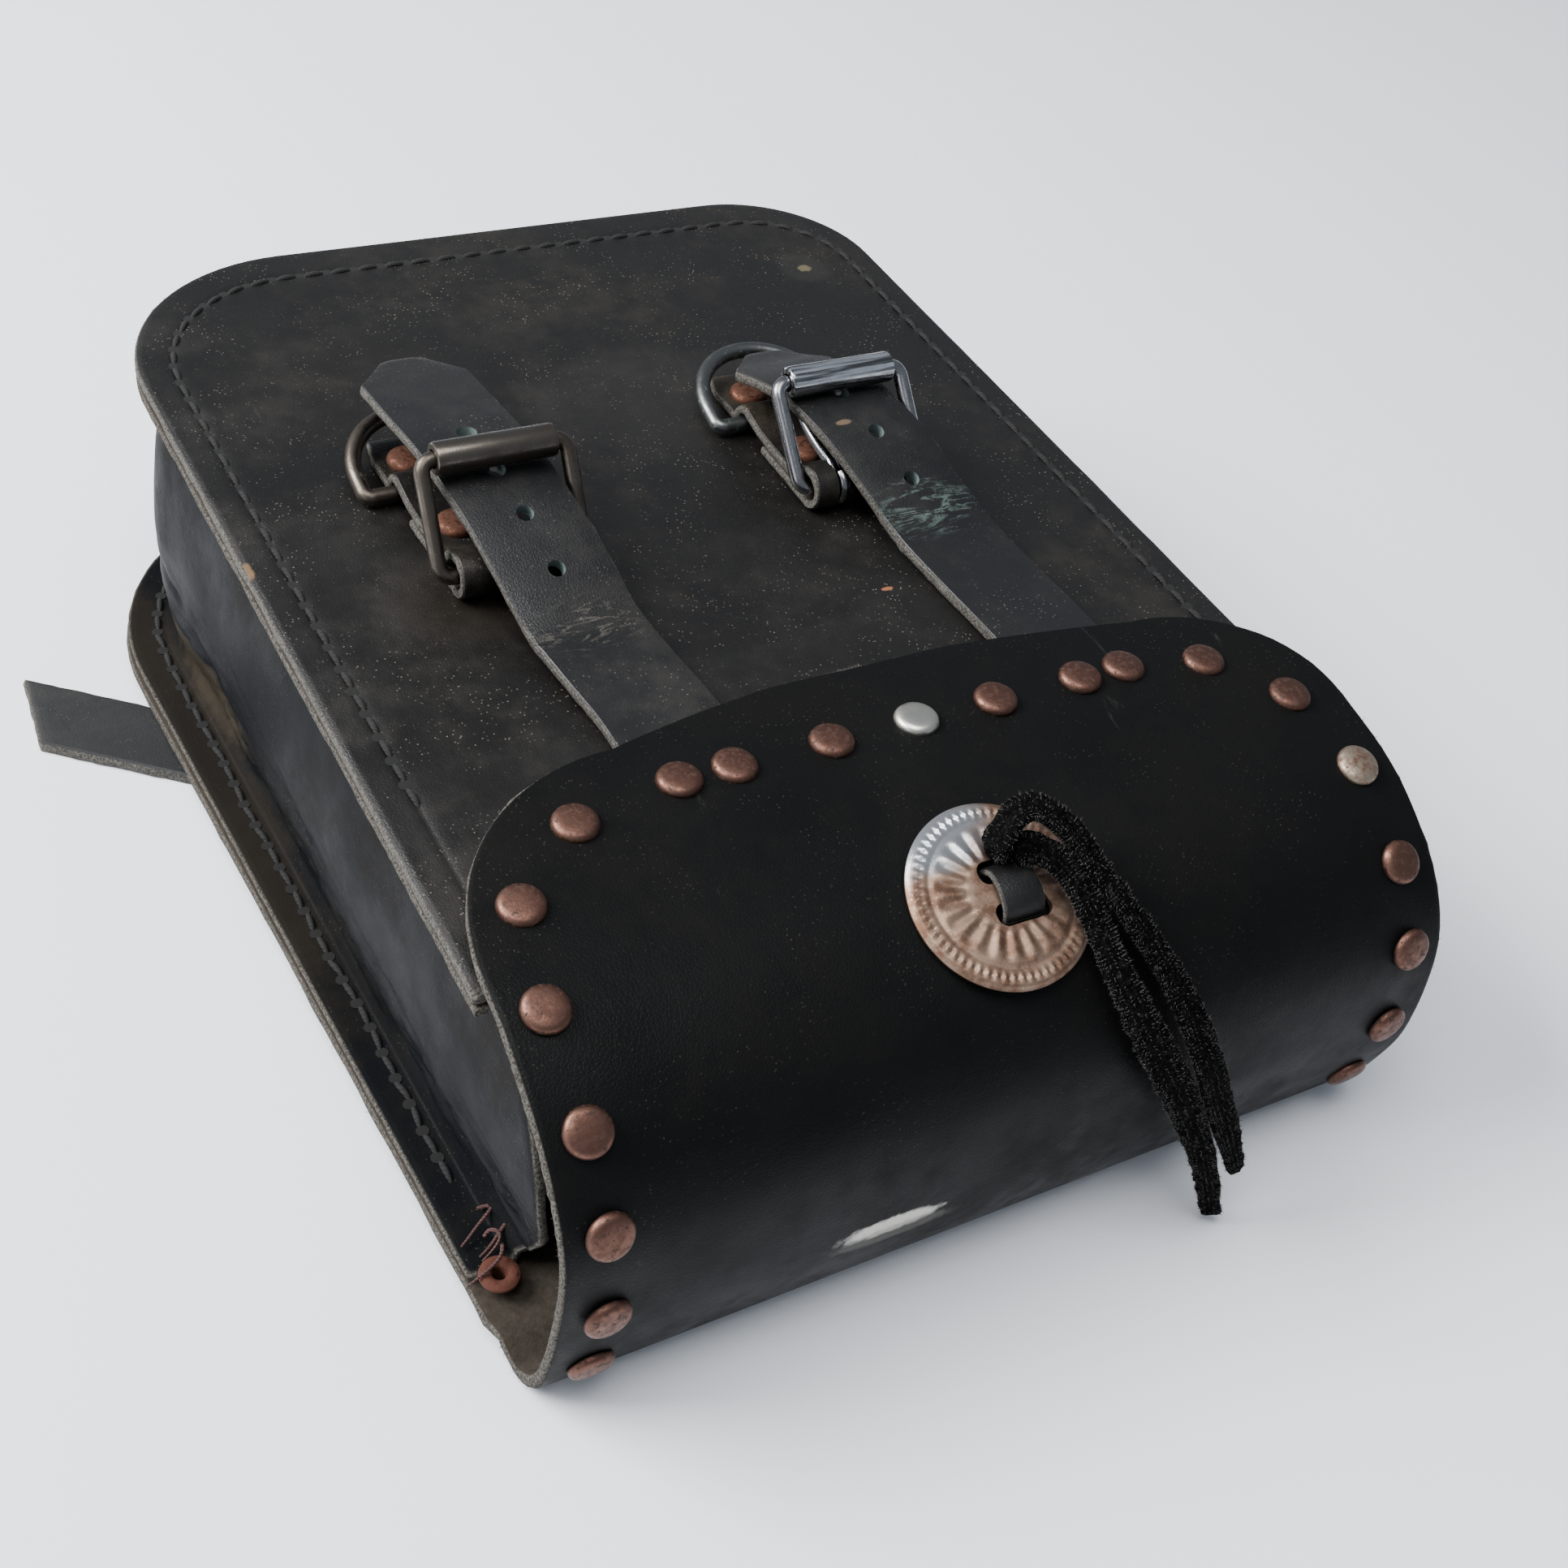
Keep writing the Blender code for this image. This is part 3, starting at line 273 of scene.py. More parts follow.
def leather_sheet(name, middle, thick, normal, fuzz, seed, rim=None, hairs=0):
    """Closed sheet round a grid of middle points, with a rounded and ragged rim.

    Its attributes are raw, 1 on the cut rim, and flesh, 1 on the side away from the normals."""
    n, m, _ = middle.shape
    soften = 0.35
    top = middle + normal * thick / 2
    bottom = middle - normal * thick / 2
    rim = rim or boundary(n, m)
    count = len(rim)
    ring = np.array([middle[i, j] for i, j in rim])
    up = np.array([normal[i, j] for i, j in rim])
    along = np.roll(ring, -1, axis=0) - np.roll(ring, 1, axis=0)
    out = np.cross(along, up)
    out /= np.maximum(np.linalg.norm(out, axis=1, keepdims=True), 1e-9)
    inward = np.array([middle[min(max(i, 1), n - 2), min(max(j, 1), m - 2)] for i, j in rim])
    if np.mean(np.sum(out * (ring - inward), axis=1)) < 0:
        out = -out
    for i, j in rim:
        top[i, j] -= normal[i, j] * soften
        bottom[i, j] += normal[i, j] * soften * 0.6
    verts = [top.reshape(-1, 3), bottom.reshape(-1, 3)]
    raw = [np.zeros(n * m), np.zeros(n * m)]
    flesh = [np.zeros(n * m), np.ones(n * m)]
    for i, j in rim:
        raw[0][i * m + j] = 0.75
        raw[1][i * m + j] = 0.8
    for level, push in ((0.30, 0.20), (0.0, 0.32), (-0.30, 0.2)):
        points = ring + up * thick * level
        ragged = rough(points, 1.3, seed, 2)[:, None] * fuzz + rough(points, 9.0, seed + 3, 2)[:, None] * fuzz
        verts.append(points + out * (push + ragged))
        raw.append(np.ones(count))
        flesh.append(np.full(count, 0.5))
    faces = []
    base = n * m
    for i in range(n - 1):
        for j in range(m - 1):
            a = i * m + j
            quad = (a, a + 1, a + m + 1, a + m)
            faces.append(quad[::-1])
            faces.append(tuple(base + v for v in quad))
    chain = [[i * m + j for i, j in rim]]
    for level in range(3):
        chain.append([2 * base + level * count + k for k in range(count)])
    chain.append([base + i * m + j for i, j in rim])
    for first, second in zip(chain, chain[1:]):
        for k in range(count):
            w = (k + 1) % count
            faces.append((first[k], first[w], second[w], second[k]))
    for k in range(hairs):
        place = (hashed(k, 1, seed, 11) * 0.5 + 0.5) * (count - 2)
        here = int(place)
        level = hashed(k, 2, seed, 11) * 0.42 * thick
        root = ring[here] + (ring[here + 1] - ring[here]) * (place - here) + up[here] * level
        way = out[here] + 0.55 * np.array([hashed(k, j, seed, 13) for j in (3, 4, 5)])
        tip = root + way * (0.55 + 0.35 * hashed(k, 6, seed, 13))
        side = np.cross(way, up[here]) * 0.05
        first = sum(len(part) for part in verts)
        verts.append(np.array([root + side, root - side, root + up[here] * 0.08, tip]))
        raw.append(np.ones(4))
        flesh.append(np.full(4, 0.5))
        faces += [(first, first + 1, first + 3), (first + 1, first + 2, first + 3),
                  (first + 2, first, first + 3), (first + 2, first + 1, first)]
    item = mesh_object(name, np.concatenate(verts), faces,
                       {"raw": np.concatenate(raw), "flesh": np.concatenate(flesh)}, 60)
    outward(item, 0.002 * MM)
    return item


def outward(item, merge=0.0):
    bm = bmesh.new()
    bm.from_mesh(item.data)
    if merge:
        bmesh.ops.remove_doubles(bm, verts=bm.verts, dist=merge)
    bmesh.ops.recalc_face_normals(bm, faces=bm.faces)
    bm.to_mesh(item.data)
    bm.free()


def sweep(name, path, radius, sides, cyclic=False, up=(0, 0, 1), flat=1.0):
    """A wire through the points (mm). radius is one number or one for each point."""
    path = np.asarray(path, float)
    count = len(path)
    if cyclic:
        along = np.roll(path, -1, axis=0) - np.roll(path, 1, axis=0)
    else:
        along = np.gradient(path, axis=0)
    along /= np.linalg.norm(along, axis=1, keepdims=True)
    side = np.cross(along[0], np.array(up, float))
    if np.linalg.norm(side) < 1e-3:
        side = np.cross(along[0], np.array([1.0, 0.3, 0.0]))
    side /= np.linalg.norm(side)
    radius = np.broadcast_to(np.asarray(radius, float), (count,))
    verts = []
    for k in range(count):
        side = side - along[k] * side.dot(along[k])
        side /= np.linalg.norm(side)
        other = np.cross(along[k], side)
        for a in range(sides):
            angle = 2 * math.pi * a / sides
            verts.append(path[k] + radius[k] * (math.cos(angle) * side + flat * math.sin(angle) * other))
    faces = tube_faces(count, sides, cyclic)
    if not cyclic:
        for k, flip in ((0, True), (count - 1, False)):
            verts.append(path[k] + along[k] * radius[k] * (-0.45 if flip else 0.45))
            tip = len(verts) - 1
            for a in range(sides):
                first, second = k * sides + a, k * sides + (a + 1) % sides
                faces.append((tip, second, first) if flip else (tip, first, second))
    item = mesh_object(name, verts, faces, None, 50)
    outward(item)
    return item


def lathe(name, profile, point, axis, segments=40, seed=0, dent=0.0):
    """Turn (radius, height) pairs about an axis through a point, all in millimetres."""
    axis = Vector(axis).normalized()
    turn = np.array(axis.to_track_quat("Z", "Y").to_matrix())
    verts = []
    rings = []
    for radius, height in profile:
        if radius < 1e-6:
            rings.append([len(verts)])
            verts.append((0.0, 0.0, height))
        else:
            rings.append(list(range(len(verts), len(verts) + segments)))
            for k in range(segments):
                a = 2 * math.pi * k / segments
                verts.append((radius * math.cos(a), radius * math.sin(a), height))
    faces = []
    for first, second in zip(rings, rings[1:]):
        for k in range(segments):
            w = (k + 1) % segments
            if len(first) == 1 and len(second) == 1:
                continue
            if len(first) == 1:
                faces.append((first[0], second[k], second[w]))
            elif len(second) == 1:
                faces.append((first[k], second[0], first[w]))
            else:
                faces.append((first[k], second[k], second[w], first[w]))
    verts = np.array(verts)
    if dent:
        verts[:, 2] += rough(verts + seed * 31.0, 3.6, seed, 2) * dent
    verts = verts @ turn.T + np.array(point)
    item = mesh_object(name, verts, faces, None, 35)
    outward(item)
    return item


def join(name, items):
    """One object from several, keeping their attributes."""
    bm = bmesh.new()
    for item in items:
        bm.from_mesh(item.data)
    mesh = bpy.data.meshes.new(name)
    bm.to_mesh(mesh)
    bm.free()
    for item in items:
        bpy.data.objects.remove(item, do_unlink=True)
    mesh.shade_smooth()
    mesh.set_sharp_from_angle(angle=math.radians(45))
    return link(name, mesh)


def cut(item, cutters, wall):
    """Take the cutters out of a sheet; the cut walls get the second material."""
    guide = join("guide_" + item.name, cutters)
    guide.data.materials.append(wall)
    boolean = item.modifiers.new("holes", "BOOLEAN")
    boolean.operation = "DIFFERENCE"
    boolean.solver = "EXACT"
    boolean.material_mode = "TRANSFER"
    boolean.object = guide
    graph = bpy.context.evaluated_depsgraph_get()
    mesh = bpy.data.meshes.new_from_object(item.evaluated_get(graph))
    item.modifiers.clear()
    item.data = mesh
    bpy.data.objects.remove(guide, do_unlink=True)
    mesh.set_sharp_from_angle(angle=math.radians(45))


# ---------------------------------------------------------------- materials

class Nodes:
    """Short names for building a node material."""

    def __init__(self, name):
        self.material = bpy.data.materials.new(name)
        self.material.use_nodes = True
        self.tree = self.material.node_tree
        self.shader = self.tree.nodes["Principled BSDF"]
        self.place = self.node("ShaderNodeTexCoord").outputs["Object"]

    def node(self, kind, **settings):
        made = self.tree.nodes.new(kind)
        for key, value in settings.items():
            setattr(made, key, value)
        return made

    def feed(self, socket, value):
        if isinstance(value, bpy.types.NodeSocket):
            self.tree.links.new(value, socket)
        elif isinstance(value, (tuple, list)) and len(value) == 3 and socket.type == "RGBA":
            socket.default_value = (*value, 1.0)
        else:
            socket.default_value = value

    def math(self, operation, a, b=0.0):
        made = self.node("ShaderNodeMath", operation=operation)
        self.feed(made.inputs[0], a)
        self.feed(made.inputs[1], b)
        return made.outputs[0]

    def vector(self, operation, a, b=(0, 0, 0)):
        made = self.node("ShaderNodeVectorMath", operation=operation)
        self.feed(made.inputs[0], a)
        self.feed(made.inputs[1], b)
        return made.outputs["Value" if operation == "LENGTH" else "Vector"]

    def noise(self, size, detail=4.0, roughness=0.55, stretch=(1, 1, 1), offset=0.0, distortion=0.0):
        """Noise whose features are about `size` millimetres."""
        moved = self.vector("MULTIPLY_ADD", self.place, tuple(stretch))
        moved.node.inputs[2].default_value = (offset, offset * 0.7, -offset)
        made = self.node("ShaderNodeTexNoise")
        self.feed(made.inputs["Vector"], moved)
        made.inputs["Scale"].default_value = 1.0 / (size * MM)
        made.inputs["Detail"].default_value = detail
        made.inputs["Roughness"].default_value = roughness
        made.inputs["Distortion"].default_value = distortion
        return made.outputs["Fac"]

    def cells(self, size, feature="F1"):
        made = self.node("ShaderNodeTexVoronoi", feature=feature)
        self.feed(made.inputs["Vector"], self.place)
        made.inputs["Scale"].default_value = 1.0 / (size * MM)
        return made.outputs["Distance"]

    def ramp(self, value, low, high, first=0.0, last=1.0):
        made = self.node("ShaderNodeMapRange", interpolation_type="SMOOTHSTEP")
        self.feed(made.inputs["Value"], value)
        for key, number in (("From Min", low), ("From Max", high), ("To Min", first), ("To Max", last)):
            made.inputs[key].default_value = number
        return made.outputs["Result"]

    def mix(self, share, a, b):
        made = self.node("ShaderNodeMix", data_type="RGBA")
        self.feed(made.inputs[0], share)
        self.feed(made.inputs[6], a)
        self.feed(made.inputs[7], b)
        return made.outputs[2]

    def blend(self, share, a, b):
        made = self.node("ShaderNodeMix", data_type="FLOAT")
        self.feed(made.inputs[0], share)
        self.feed(made.inputs[2], a)
        self.feed(made.inputs[3], b)
        return made.outputs[0]

    def attribute(self, name):
        return self.node("ShaderNodeAttribute", attribute_name=name).outputs["Fac"]

    def blob(self, centre, radii, edge=0.35, size=2.0, ragged=0.35):
        """1 inside an ellipsoid given in millimetres, with a ragged edge."""
        moved = self.vector("SUBTRACT", self.place, tuple(c * MM for c in centre))
        scaled = self.vector("MULTIPLY", moved, tuple(1.0 / (r * MM) for r in radii))
        far = self.vector("LENGTH", scaled)
        wander = self.math("SUBTRACT", self.noise(size), 0.5)
        far = self.math("ADD", far, self.math("MULTIPLY", wander, ragged * 2))
        return self.ramp(far, 1.0 - edge, 1.0 + edge * 0.2, 1.0, 0.0)

    def bump(self, height, distance, strength, normal=None):
        made = self.node("ShaderNodeBump")
        made.inputs["Strength"].default_value = strength
        made.inputs["Distance"].default_value = distance * MM
        self.feed(made.inputs["Height"], height)
        if normal is not None:
            self.feed(made.inputs["Normal"], normal)
        return made.outputs["Normal"]

    def finish(self, colour, roughness, normal=None, metallic=0.0, **constants):
        self.feed(self.shader.inputs["Base Color"], colour)
        self.feed(self.shader.inputs["Roughness"], roughness)
        self.feed(self.shader.inputs["Metallic"], metallic)
        if normal is not None:
            self.feed(self.shader.inputs["Normal"], normal)
        for key, value in constants.items():
            self.shader.inputs[key.replace("_", " ")].default_value = value
        return self.material


def leather(name, colour, dusty, roughness, dust, grain=0.75, marks=(), grain_depth=0.05,
            specular=0.32, cracks=()):
    """Waxed black leather: pores, soft creases, dust and scuffs, a grey fibrous cut edge and flesh side.

    marks are (centre, radii, colour, strength, size of the ragged edge) patches, in millimetres, and
    cracks are (centre, radii, colour, strength) patches where fine pale lines run across the leather."""
    n = Nodes(name)
    clouds = n.noise(46, 5, 0.6)
    fine = n.noise(7, 4, 0.65, offset=0.3)
    grime = n.ramp(n.math("MULTIPLY", clouds, n.math("ADD", fine, 0.45)), 0.38, 0.72)
    tone = n.mix(grime, colour, dusty)
    speck_keep = n.ramp(n.noise(15, 5, 0.7, offset=0.9), 0.42, 0.66)
    specks = n.math("MULTIPLY", n.ramp(n.cells(1.15), 0.10, 0.20, 1.0, 0.0), speck_keep)
    tone = n.mix(n.math("MULTIPLY", specks, dust), tone, (0.15, 0.13, 0.10))
    crumb_keep = n.ramp(n.noise(30, 3, 0.6, offset=2), 0.5, 0.66)
    crumbs = n.math("MULTIPLY", n.ramp(n.cells(4.4), 0.02, 0.045, 1.0, 0.0), crumb_keep)
    tone = n.mix(n.math("MULTIPLY", crumbs, min(dust, 1.0)), tone, (0.20, 0.18, 0.145))
    scuff = n.noise(10, 6, 0.75, stretch=(1, 0.16, 1), offset=4, distortion=0.6)
    scuffs = n.ramp(scuff, 0.64, 0.78)
    tone = n.mix(n.math("MULTIPLY", scuffs, 0.22), tone, (0.11, 0.105, 0.10))
    for centre, radii, tint, strength, size in marks:
        patch = n.blob(centre, radii, size=size)
        tone = n.mix(n.math("MULTIPLY", patch, strength), tone, tint)
    for centre, radii, tint, strength in cracks:
        wander = n.noise(3.6, 4, 0.6, stretch=(0.22, 1, 1), offset=2.0, distortion=0.8)
        lines = n.ramp(n.math("ABSOLUTE", n.math("SUBTRACT", wander, 0.5)), 0.004, 0.045, 1.0, 0.0)
        patch = n.math("MULTIPLY", lines, n.blob(centre, radii, edge=0.8, size=4.0))
        patch = n.math("MULTIPLY", patch, n.ramp(n.noise(2.2, 4, 0.7), 0.35, 0.6))
        tone = n.mix(n.math("MULTIPLY", patch, strength), tone, tint)
    raw = n.attribute("raw")
    flesh = n.attribute("flesh")
    fibres = n.noise(0.55, 5, 0.7)
    raw_tone = n.mix(n.ramp(fibres, 0.3, 0.72), (0.012, 0.011, 0.010), (0.135, 0.125, 0.108))
    flesh_tone = n.mix(n.noise(1.4, 5, 0.7, offset=1.7), (0.012, 0.010, 0.008), (0.060, 0.050, 0.040))
    tone = n.mix(n.ramp(flesh, 0.55, 0.95), tone, flesh_tone)
    tone = n.mix(n.ramp(raw, 0.35, 0.95), tone, raw_tone)
    pores = n.ramp(n.cells(grain, "DISTANCE_TO_EDGE"), 0.0, 0.22)
    creases = n.noise(3.2, 5, 0.62, offset=0.2)
    height = n.math("ADD", n.math("MULTIPLY", pores, 0.5), n.math("MULTIPLY", creases, 1.4))
    height = n.math("ADD", height, n.math("MULTIPLY", fibres, n.math("MULTIPLY", raw, 7.0)))
    normal = n.bump(height, grain_depth, 0.9)
    soft = n.bump(n.noise(19, 3, 0.5, offset=5), 0.5, 0.55, normal)
    shine = n.ramp(n.noise(24, 4, 0.6, offset=7), 0.3, 0.75, roughness - 0.07, roughness + 0.12)
    shine = n.blend(n.math("MULTIPLY", grime, 0.6), shine, 0.72)
    shine = n.blend(n.math("MAXIMUM", n.ramp(raw, 0.3, 0.8), n.ramp(flesh, 0.55, 0.95)), shine, 0.95)
    return n.finish(tone, shine, soft, Specular_IOR_Level=specular)


def metal(name, colour, worn, rust, rust_share, roughness, pits, size, streaks=0.0):
    """Plated wire or sheet: patchy tarnish, pits and, where a rust colour is given, rust."""
    n = Nodes(name)
    patches = n.ramp(n.noise(size, 6, 0.68), 0.36, 0.66)
    tone = n.mix(patches, colour, worn)
    if streaks:
        # Near-black streaks that run along X, the length of the roller that uses them
        lengthwise_dark_streaks = n.ramp(n.noise(1.1, 4, 0.6, stretch=(0.04, 1, 1), offset=6.0), 0.42, 0.60)
        tone = n.mix(n.math("MULTIPLY", lengthwise_dark_streaks, streaks), tone, tuple(c * 0.12 for c in colour))
    rough_part = n.blend(patches, roughness, roughness + 0.16)
    metallic = 1.0
    if rust is not None:
        low = 0.74 - 0.42 * rust_share
        bloom = n.ramp(n.noise(size * 0.45, 7, 0.74, offset=3.0), low, low + 0.13)
        tone = n.mix(bloom, tone, n.mix(n.noise(0.8, 4, 0.7), rust, tuple(c * 0.42 for c in rust)))
        rough_part = n.blend(bloom, rough_part, 0.82)
        metallic = n.math("SUBTRACT", 1.0, n.math("MULTIPLY", bloom, 0.62))
    grains = n.math("ADD", n.noise(0.9, 5, 0.7, offset=1.0), n.math("MULTIPLY", patches, 0.35))
    return n.finish(tone, rough_part, n.bump(grains, pits, 0.8), metallic)


def suede(name):
    n = Nodes(name)
    fibres = n.noise(1.0, 6, 0.8)
    strands = n.noise(1.3, 6, 0.8, stretch=(1, 1, 0.45), offset=1.0)
    tone = n.mix(n.ramp(fibres, 0.45, 0.7), (0.0010, 0.0010, 0.0010), (0.0105, 0.0100, 0.0096))
    tone = n.mix(n.ramp(strands, 0.56, 0.70, 0.0, 0.8), tone, (0.050, 0.048, 0.046))
    smooth_side = n.attribute("grain_side")
    tone = n.mix(smooth_side, tone, (0.0040, 0.0040, 0.0043))
    height = n.math("ADD", fibres, strands)
    rough_part = n.blend(smooth_side, 1.0, 0.55)
    return n.finish(tone, rough_part, n.bump(height, 0.45, 1.0), Specular_IOR_Level=0.04)


def thread(name, dark, pale):
    n = Nodes(name)
    twist = n.node("ShaderNodeTexWave", wave_type="BANDS", bands_direction="DIAGONAL")
    n.feed(twist.inputs["Vector"], n.place)
    twist.inputs["Scale"].default_value = 560.0
    twist.inputs["Distortion"].default_value = 1.5
    tone = n.mix(n.math("MULTIPLY", twist.outputs["Fac"], n.noise(4, 4, 0.6)), dark, pale)
    return n.finish(tone, 0.85, n.bump(twist.outputs["Fac"], 0.12, 0.9))


def plain(name, colour, roughness, variation=0.12, size=30.0):
    n = Nodes(name)
    tone = n.mix(n.noise(size, 5, 0.6), colour, tuple(c * (1 - variation) for c in colour))
    return n.finish(tone, roughness)


BLACK = (0.0040, 0.0041, 0.0042)
BROWN_DUST = (0.0090, 0.0076, 0.0060)
sheet_leather = leather(
    "sheet_leather", BLACK, (0.0046, 0.0044, 0.0041), roughness=0.40, dust=0.16, grain=0.8, specular=0.07,
    marks=[((-31.5, -143.5, 27.5), (12.5, 6.0, 3.3), (0.62, 0.60, 0.54), 1.0, 2.4),
           ((-30.0, -143.0, 24.0), (15.0, 6.0, 3.4), (0.13, 0.125, 0.11), 0.5, 1.2)])
front_leather = leather(
    "front_leather", (0.0042, 0.0038, 0.0034), BROWN_DUST, roughness=0.42, dust=0.75, grain=0.8,
    marks=[((79.0, 107.0, 77.0), (8.4, 8.4, 5.0), (0.020, 0.019, 0.017), 0.3, 9.0),
           ((79.0, 107.0, 77.0), (2.2, 1.8, 3.0), (0.16, 0.13, 0.075), 0.5, 1.0),
           ((-101.0, 25.0, 75.5), (1.2, 3.4, 3.0), (0.15, 0.085, 0.04), 0.7, 2.0),
           ((28.5, -22.0, 77.0), (1.6, 0.7, 3.0), (0.30, 0.11, 0.05), 0.7, 1.0),
           ((10.0, 60.0, 77.0), (38.0, 26.0, 6.0), (0.013, 0.012, 0.011), 0.35, 14.0),
           ((-60.0, 85.0, 77.0), (30.0, 26.0, 6.0), (0.010, 0.0085, 0.007), 0.3, 12.0),
           ((-62.0, 4.0, 77.0), (22.0, 18.0, 6.0), (0.015, 0.0125, 0.009), 0.45, 3.0)])
gusset_leather = leather(
    "gusset_leather", (0.0044, 0.0049, 0.0058), (0.0080, 0.0074, 0.0066), roughness=0.45, dust=0.2,
    grain=0.9, specular=0.03, grain_depth=0.045,
    marks=[((-106.0, 40.0, 9.0), (10.0, 90.0, 5.0), (0.016, 0.013, 0.010), 0.6, 7.0),
           ((-101.5, 60.0, 16.0), (6.0, 30.0, 7.0), (0.040, 0.032, 0.021), 0.5, 4.0)])
STRAP_BLACK = (0.0070, 0.0071, 0.0075)
STRAP_DUST = (0.0130, 0.0120, 0.0105)
PALE_CRACK = (0.17, 0.155, 0.125)
GREEN_CRACK = (0.14, 0.20, 0.175)
strap_leathers = {
    "left": leather("left_strap_leather", STRAP_BLACK, STRAP_DUST, roughness=0.36, dust=0.6,
                    marks=[((-52.0, 56.0, 95.0), (13.0, 13.0, 6.0), (0.012, 0.0115, 0.011), 0.5, 5.0)],
                    cracks=[((-44.5, -18.5, 81.0), (15.0, 8.0, 9.0), PALE_CRACK, 0.28)]),
    "right": leather("right_strap_leather", STRAP_BLACK, STRAP_DUST, roughness=0.33, dust=0.5,
                     marks=[((36.0, 17.0, 94.0), (2.2, 0.8, 4.0), (0.20, 0.14, 0.085), 0.5, 2.6)],
                     cracks=[((47.5, -5.5, 84.0), (16.0, 9.0, 10.0), GREEN_CRACK, 0.45)]),
}
chape_leather = leather("chape_leather", (0.0050, 0.0046, 0.0042), (0.030, 0.023, 0.015),
                        roughness=0.36, dust=0.6)
mount_leather = leather("mount_leather", (0.0080, 0.0084, 0.0094), (0.015, 0.0148, 0.0145),
                        roughness=0.6, dust=0.3)
loop_leather = leather("loop_leather", (0.0045, 0.0045, 0.005), (0.009, 0.0085, 0.008),
                       roughness=0.33, dust=0.1)
lace_suede = suede("lace_suede")
lace_nap = plain("lace_nap", (0.085, 0.080, 0.074), 1.0, 0.9, 1.2)
hole_patina = plain("hole_patina", (0.15, 0.20, 0.19), 0.7, 0.7, 1.2)
# Near black: painted shade for the stitch holes
stitch_hole_painted_shade = plain("stitch_hole_painted_shade", (0.0012, 0.0012, 0.0012), 0.95)
pale_crumb = plain("pale_crumb", (0.30, 0.29, 0.26), 0.9, 0.4, 1.2)
copper = metal("copper_rivet", (0.150, 0.078, 0.058), (0.100, 0.052, 0.040),
               (0.052, 0.026, 0.019), 0.55, 0.40, 0.06, 2.6)
speckled = metal("speckled_rivet", (0.36, 0.30, 0.23), (0.16, 0.085, 0.06),
                 (0.07, 0.036, 0.024), 0.45, 0.45, 0.10, 2.6)
nickel = metal("nickel_rivet", (0.56, 0.54, 0.49), (0.42, 0.39, 0.34), None, 0.0, 0.33, 0.02, 5.0)
orange_rust = metal("orange_rivet", (0.16, 0.075, 0.050), (0.12, 0.050, 0.030),
                    (0.10, 0.036, 0.018), 0.75, 0.45, 0.07, 2.4)
red_rust = metal("rusty_steel", (0.10, 0.045, 0.032), (0.07, 0.03, 0.02),
                 (0.11, 0.032, 0.018), 0.9, 0.6, 0.12, 2.0)
chrome = metal("bright_steel", (0.30, 0.30, 0.31), (0.17, 0.17, 0.18),
               (0.05, 0.045, 0.04), 0.25, 0.15, 0.012, 4.0)
chrome_roller = metal("bright_roller", (0.78, 0.79, 0.81), (0.55, 0.56, 0.58),
                      (0.06, 0.055, 0.05), 0.1, 0.13, 0.006, 6.0,
                      streaks=0.95)
green_steel = metal("patinated_steel", (0.15, 0.15, 0.15), (0.085, 0.095, 0.09),
                    (0.10, 0.16, 0.135), 0.42, 0.3, 0.03, 5.0)
bronze = metal("dark_steel", (0.115, 0.098, 0.082), (0.075, 0.062, 0.052),
               (0.05, 0.032, 0.024), 0.35, 0.30, 0.03, 5.0)
bronze_worn = metal("dark_roller", (0.145, 0.128, 0.108), (0.085, 0.072, 0.06),
                    (0.30, 0.27, 0.23), 0.12, 0.27, 0.02, 7.0)
seam_thread = thread("seam_thread", (0.0014, 0.0013, 0.0013), (0.0075, 0.0065, 0.0055))
torn_thread = thread("torn_thread", (0.035, 0.014, 0.013), (0.13, 0.05, 0.042))


def concho_metal():
    """Nickel plate worn through to brown rust, bright along the rim's far side."""
    n = Nodes("concho_metal")
    patches = n.ramp(n.noise(6.5, 6, 0.7), 0.40, 0.62)
    tone = n.mix(patches, (0.30, 0.20, 0.145), (0.155, 0.085, 0.055))
    bright = n.blob((-9.0, -99.0, 80.0), (15.0, 10.0, 12.0), 0.5, 7.0, 0.5)
    tone = n.mix(bright, tone, (0.46, 0.48, 0.50))
    glitter = n.ramp(n.noise(0.8, 5, 0.75, offset=2.0), 0.55, 0.68)
    tone = n.mix(n.math("MULTIPLY", glitter, 0.5), tone, (0.46, 0.40, 0.33))
    shine = n.blend(bright, n.blend(glitter, 0.5, 0.3), 0.24)
    height = n.math("ADD", n.noise(0.9, 5, 0.7), n.math("MULTIPLY", patches, 0.3))
    return n.finish(tone, shine, n.bump(height, 0.05, 0.8), 0.9)


concho_look = concho_metal()


def dress(item, material, body, slot_name, *nodes):
    """Give a piece its material and body, and hide the solids that it stands for; its slot_name is not used.

    With the body fold the piece is attached to no body: its transform is baked into its mesh."""
    if not item.data.materials:
        item.data.materials.append(material)
    if body == "fold":
        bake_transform(item)
    else:
        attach(item, body)
    if nodes:
        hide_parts(*nodes)


# ---------------------------------------------------------------- camera and lace

def build_camera():
    turn, dip, roll = (math.radians(v) for v in (36.96, 42.38, 12.16))
    ahead = Vector((math.sin(turn) * math.cos(dip), math.cos(turn) * math.cos(dip), -math.sin(dip)))
    level = Vector((math.cos(turn), -math.sin(turn), 0.0))
    above = level.cross(ahead)
    right = level * math.cos(roll) + above * math.sin(roll)
    up = above * math.cos(roll) - level * math.sin(roll)
    data = bpy.data.cameras.new("camera")
    data.sensor_width = 36.0
    data.lens = 47.81
    data.clip_start = 0.01
    camera = link("camera", data)
    matrix = Matrix((right, up, -ahead)).transposed().to_4x4()
    matrix.translation = Vector((-0.20708, -0.31301, 0.35430))
    camera.matrix_world = matrix
    bpy.context.scene.camera = camera


build_camera()


def shifted(points):
    return np.asarray(points, float) + np.array([0.0, SHIFT, 0.0])


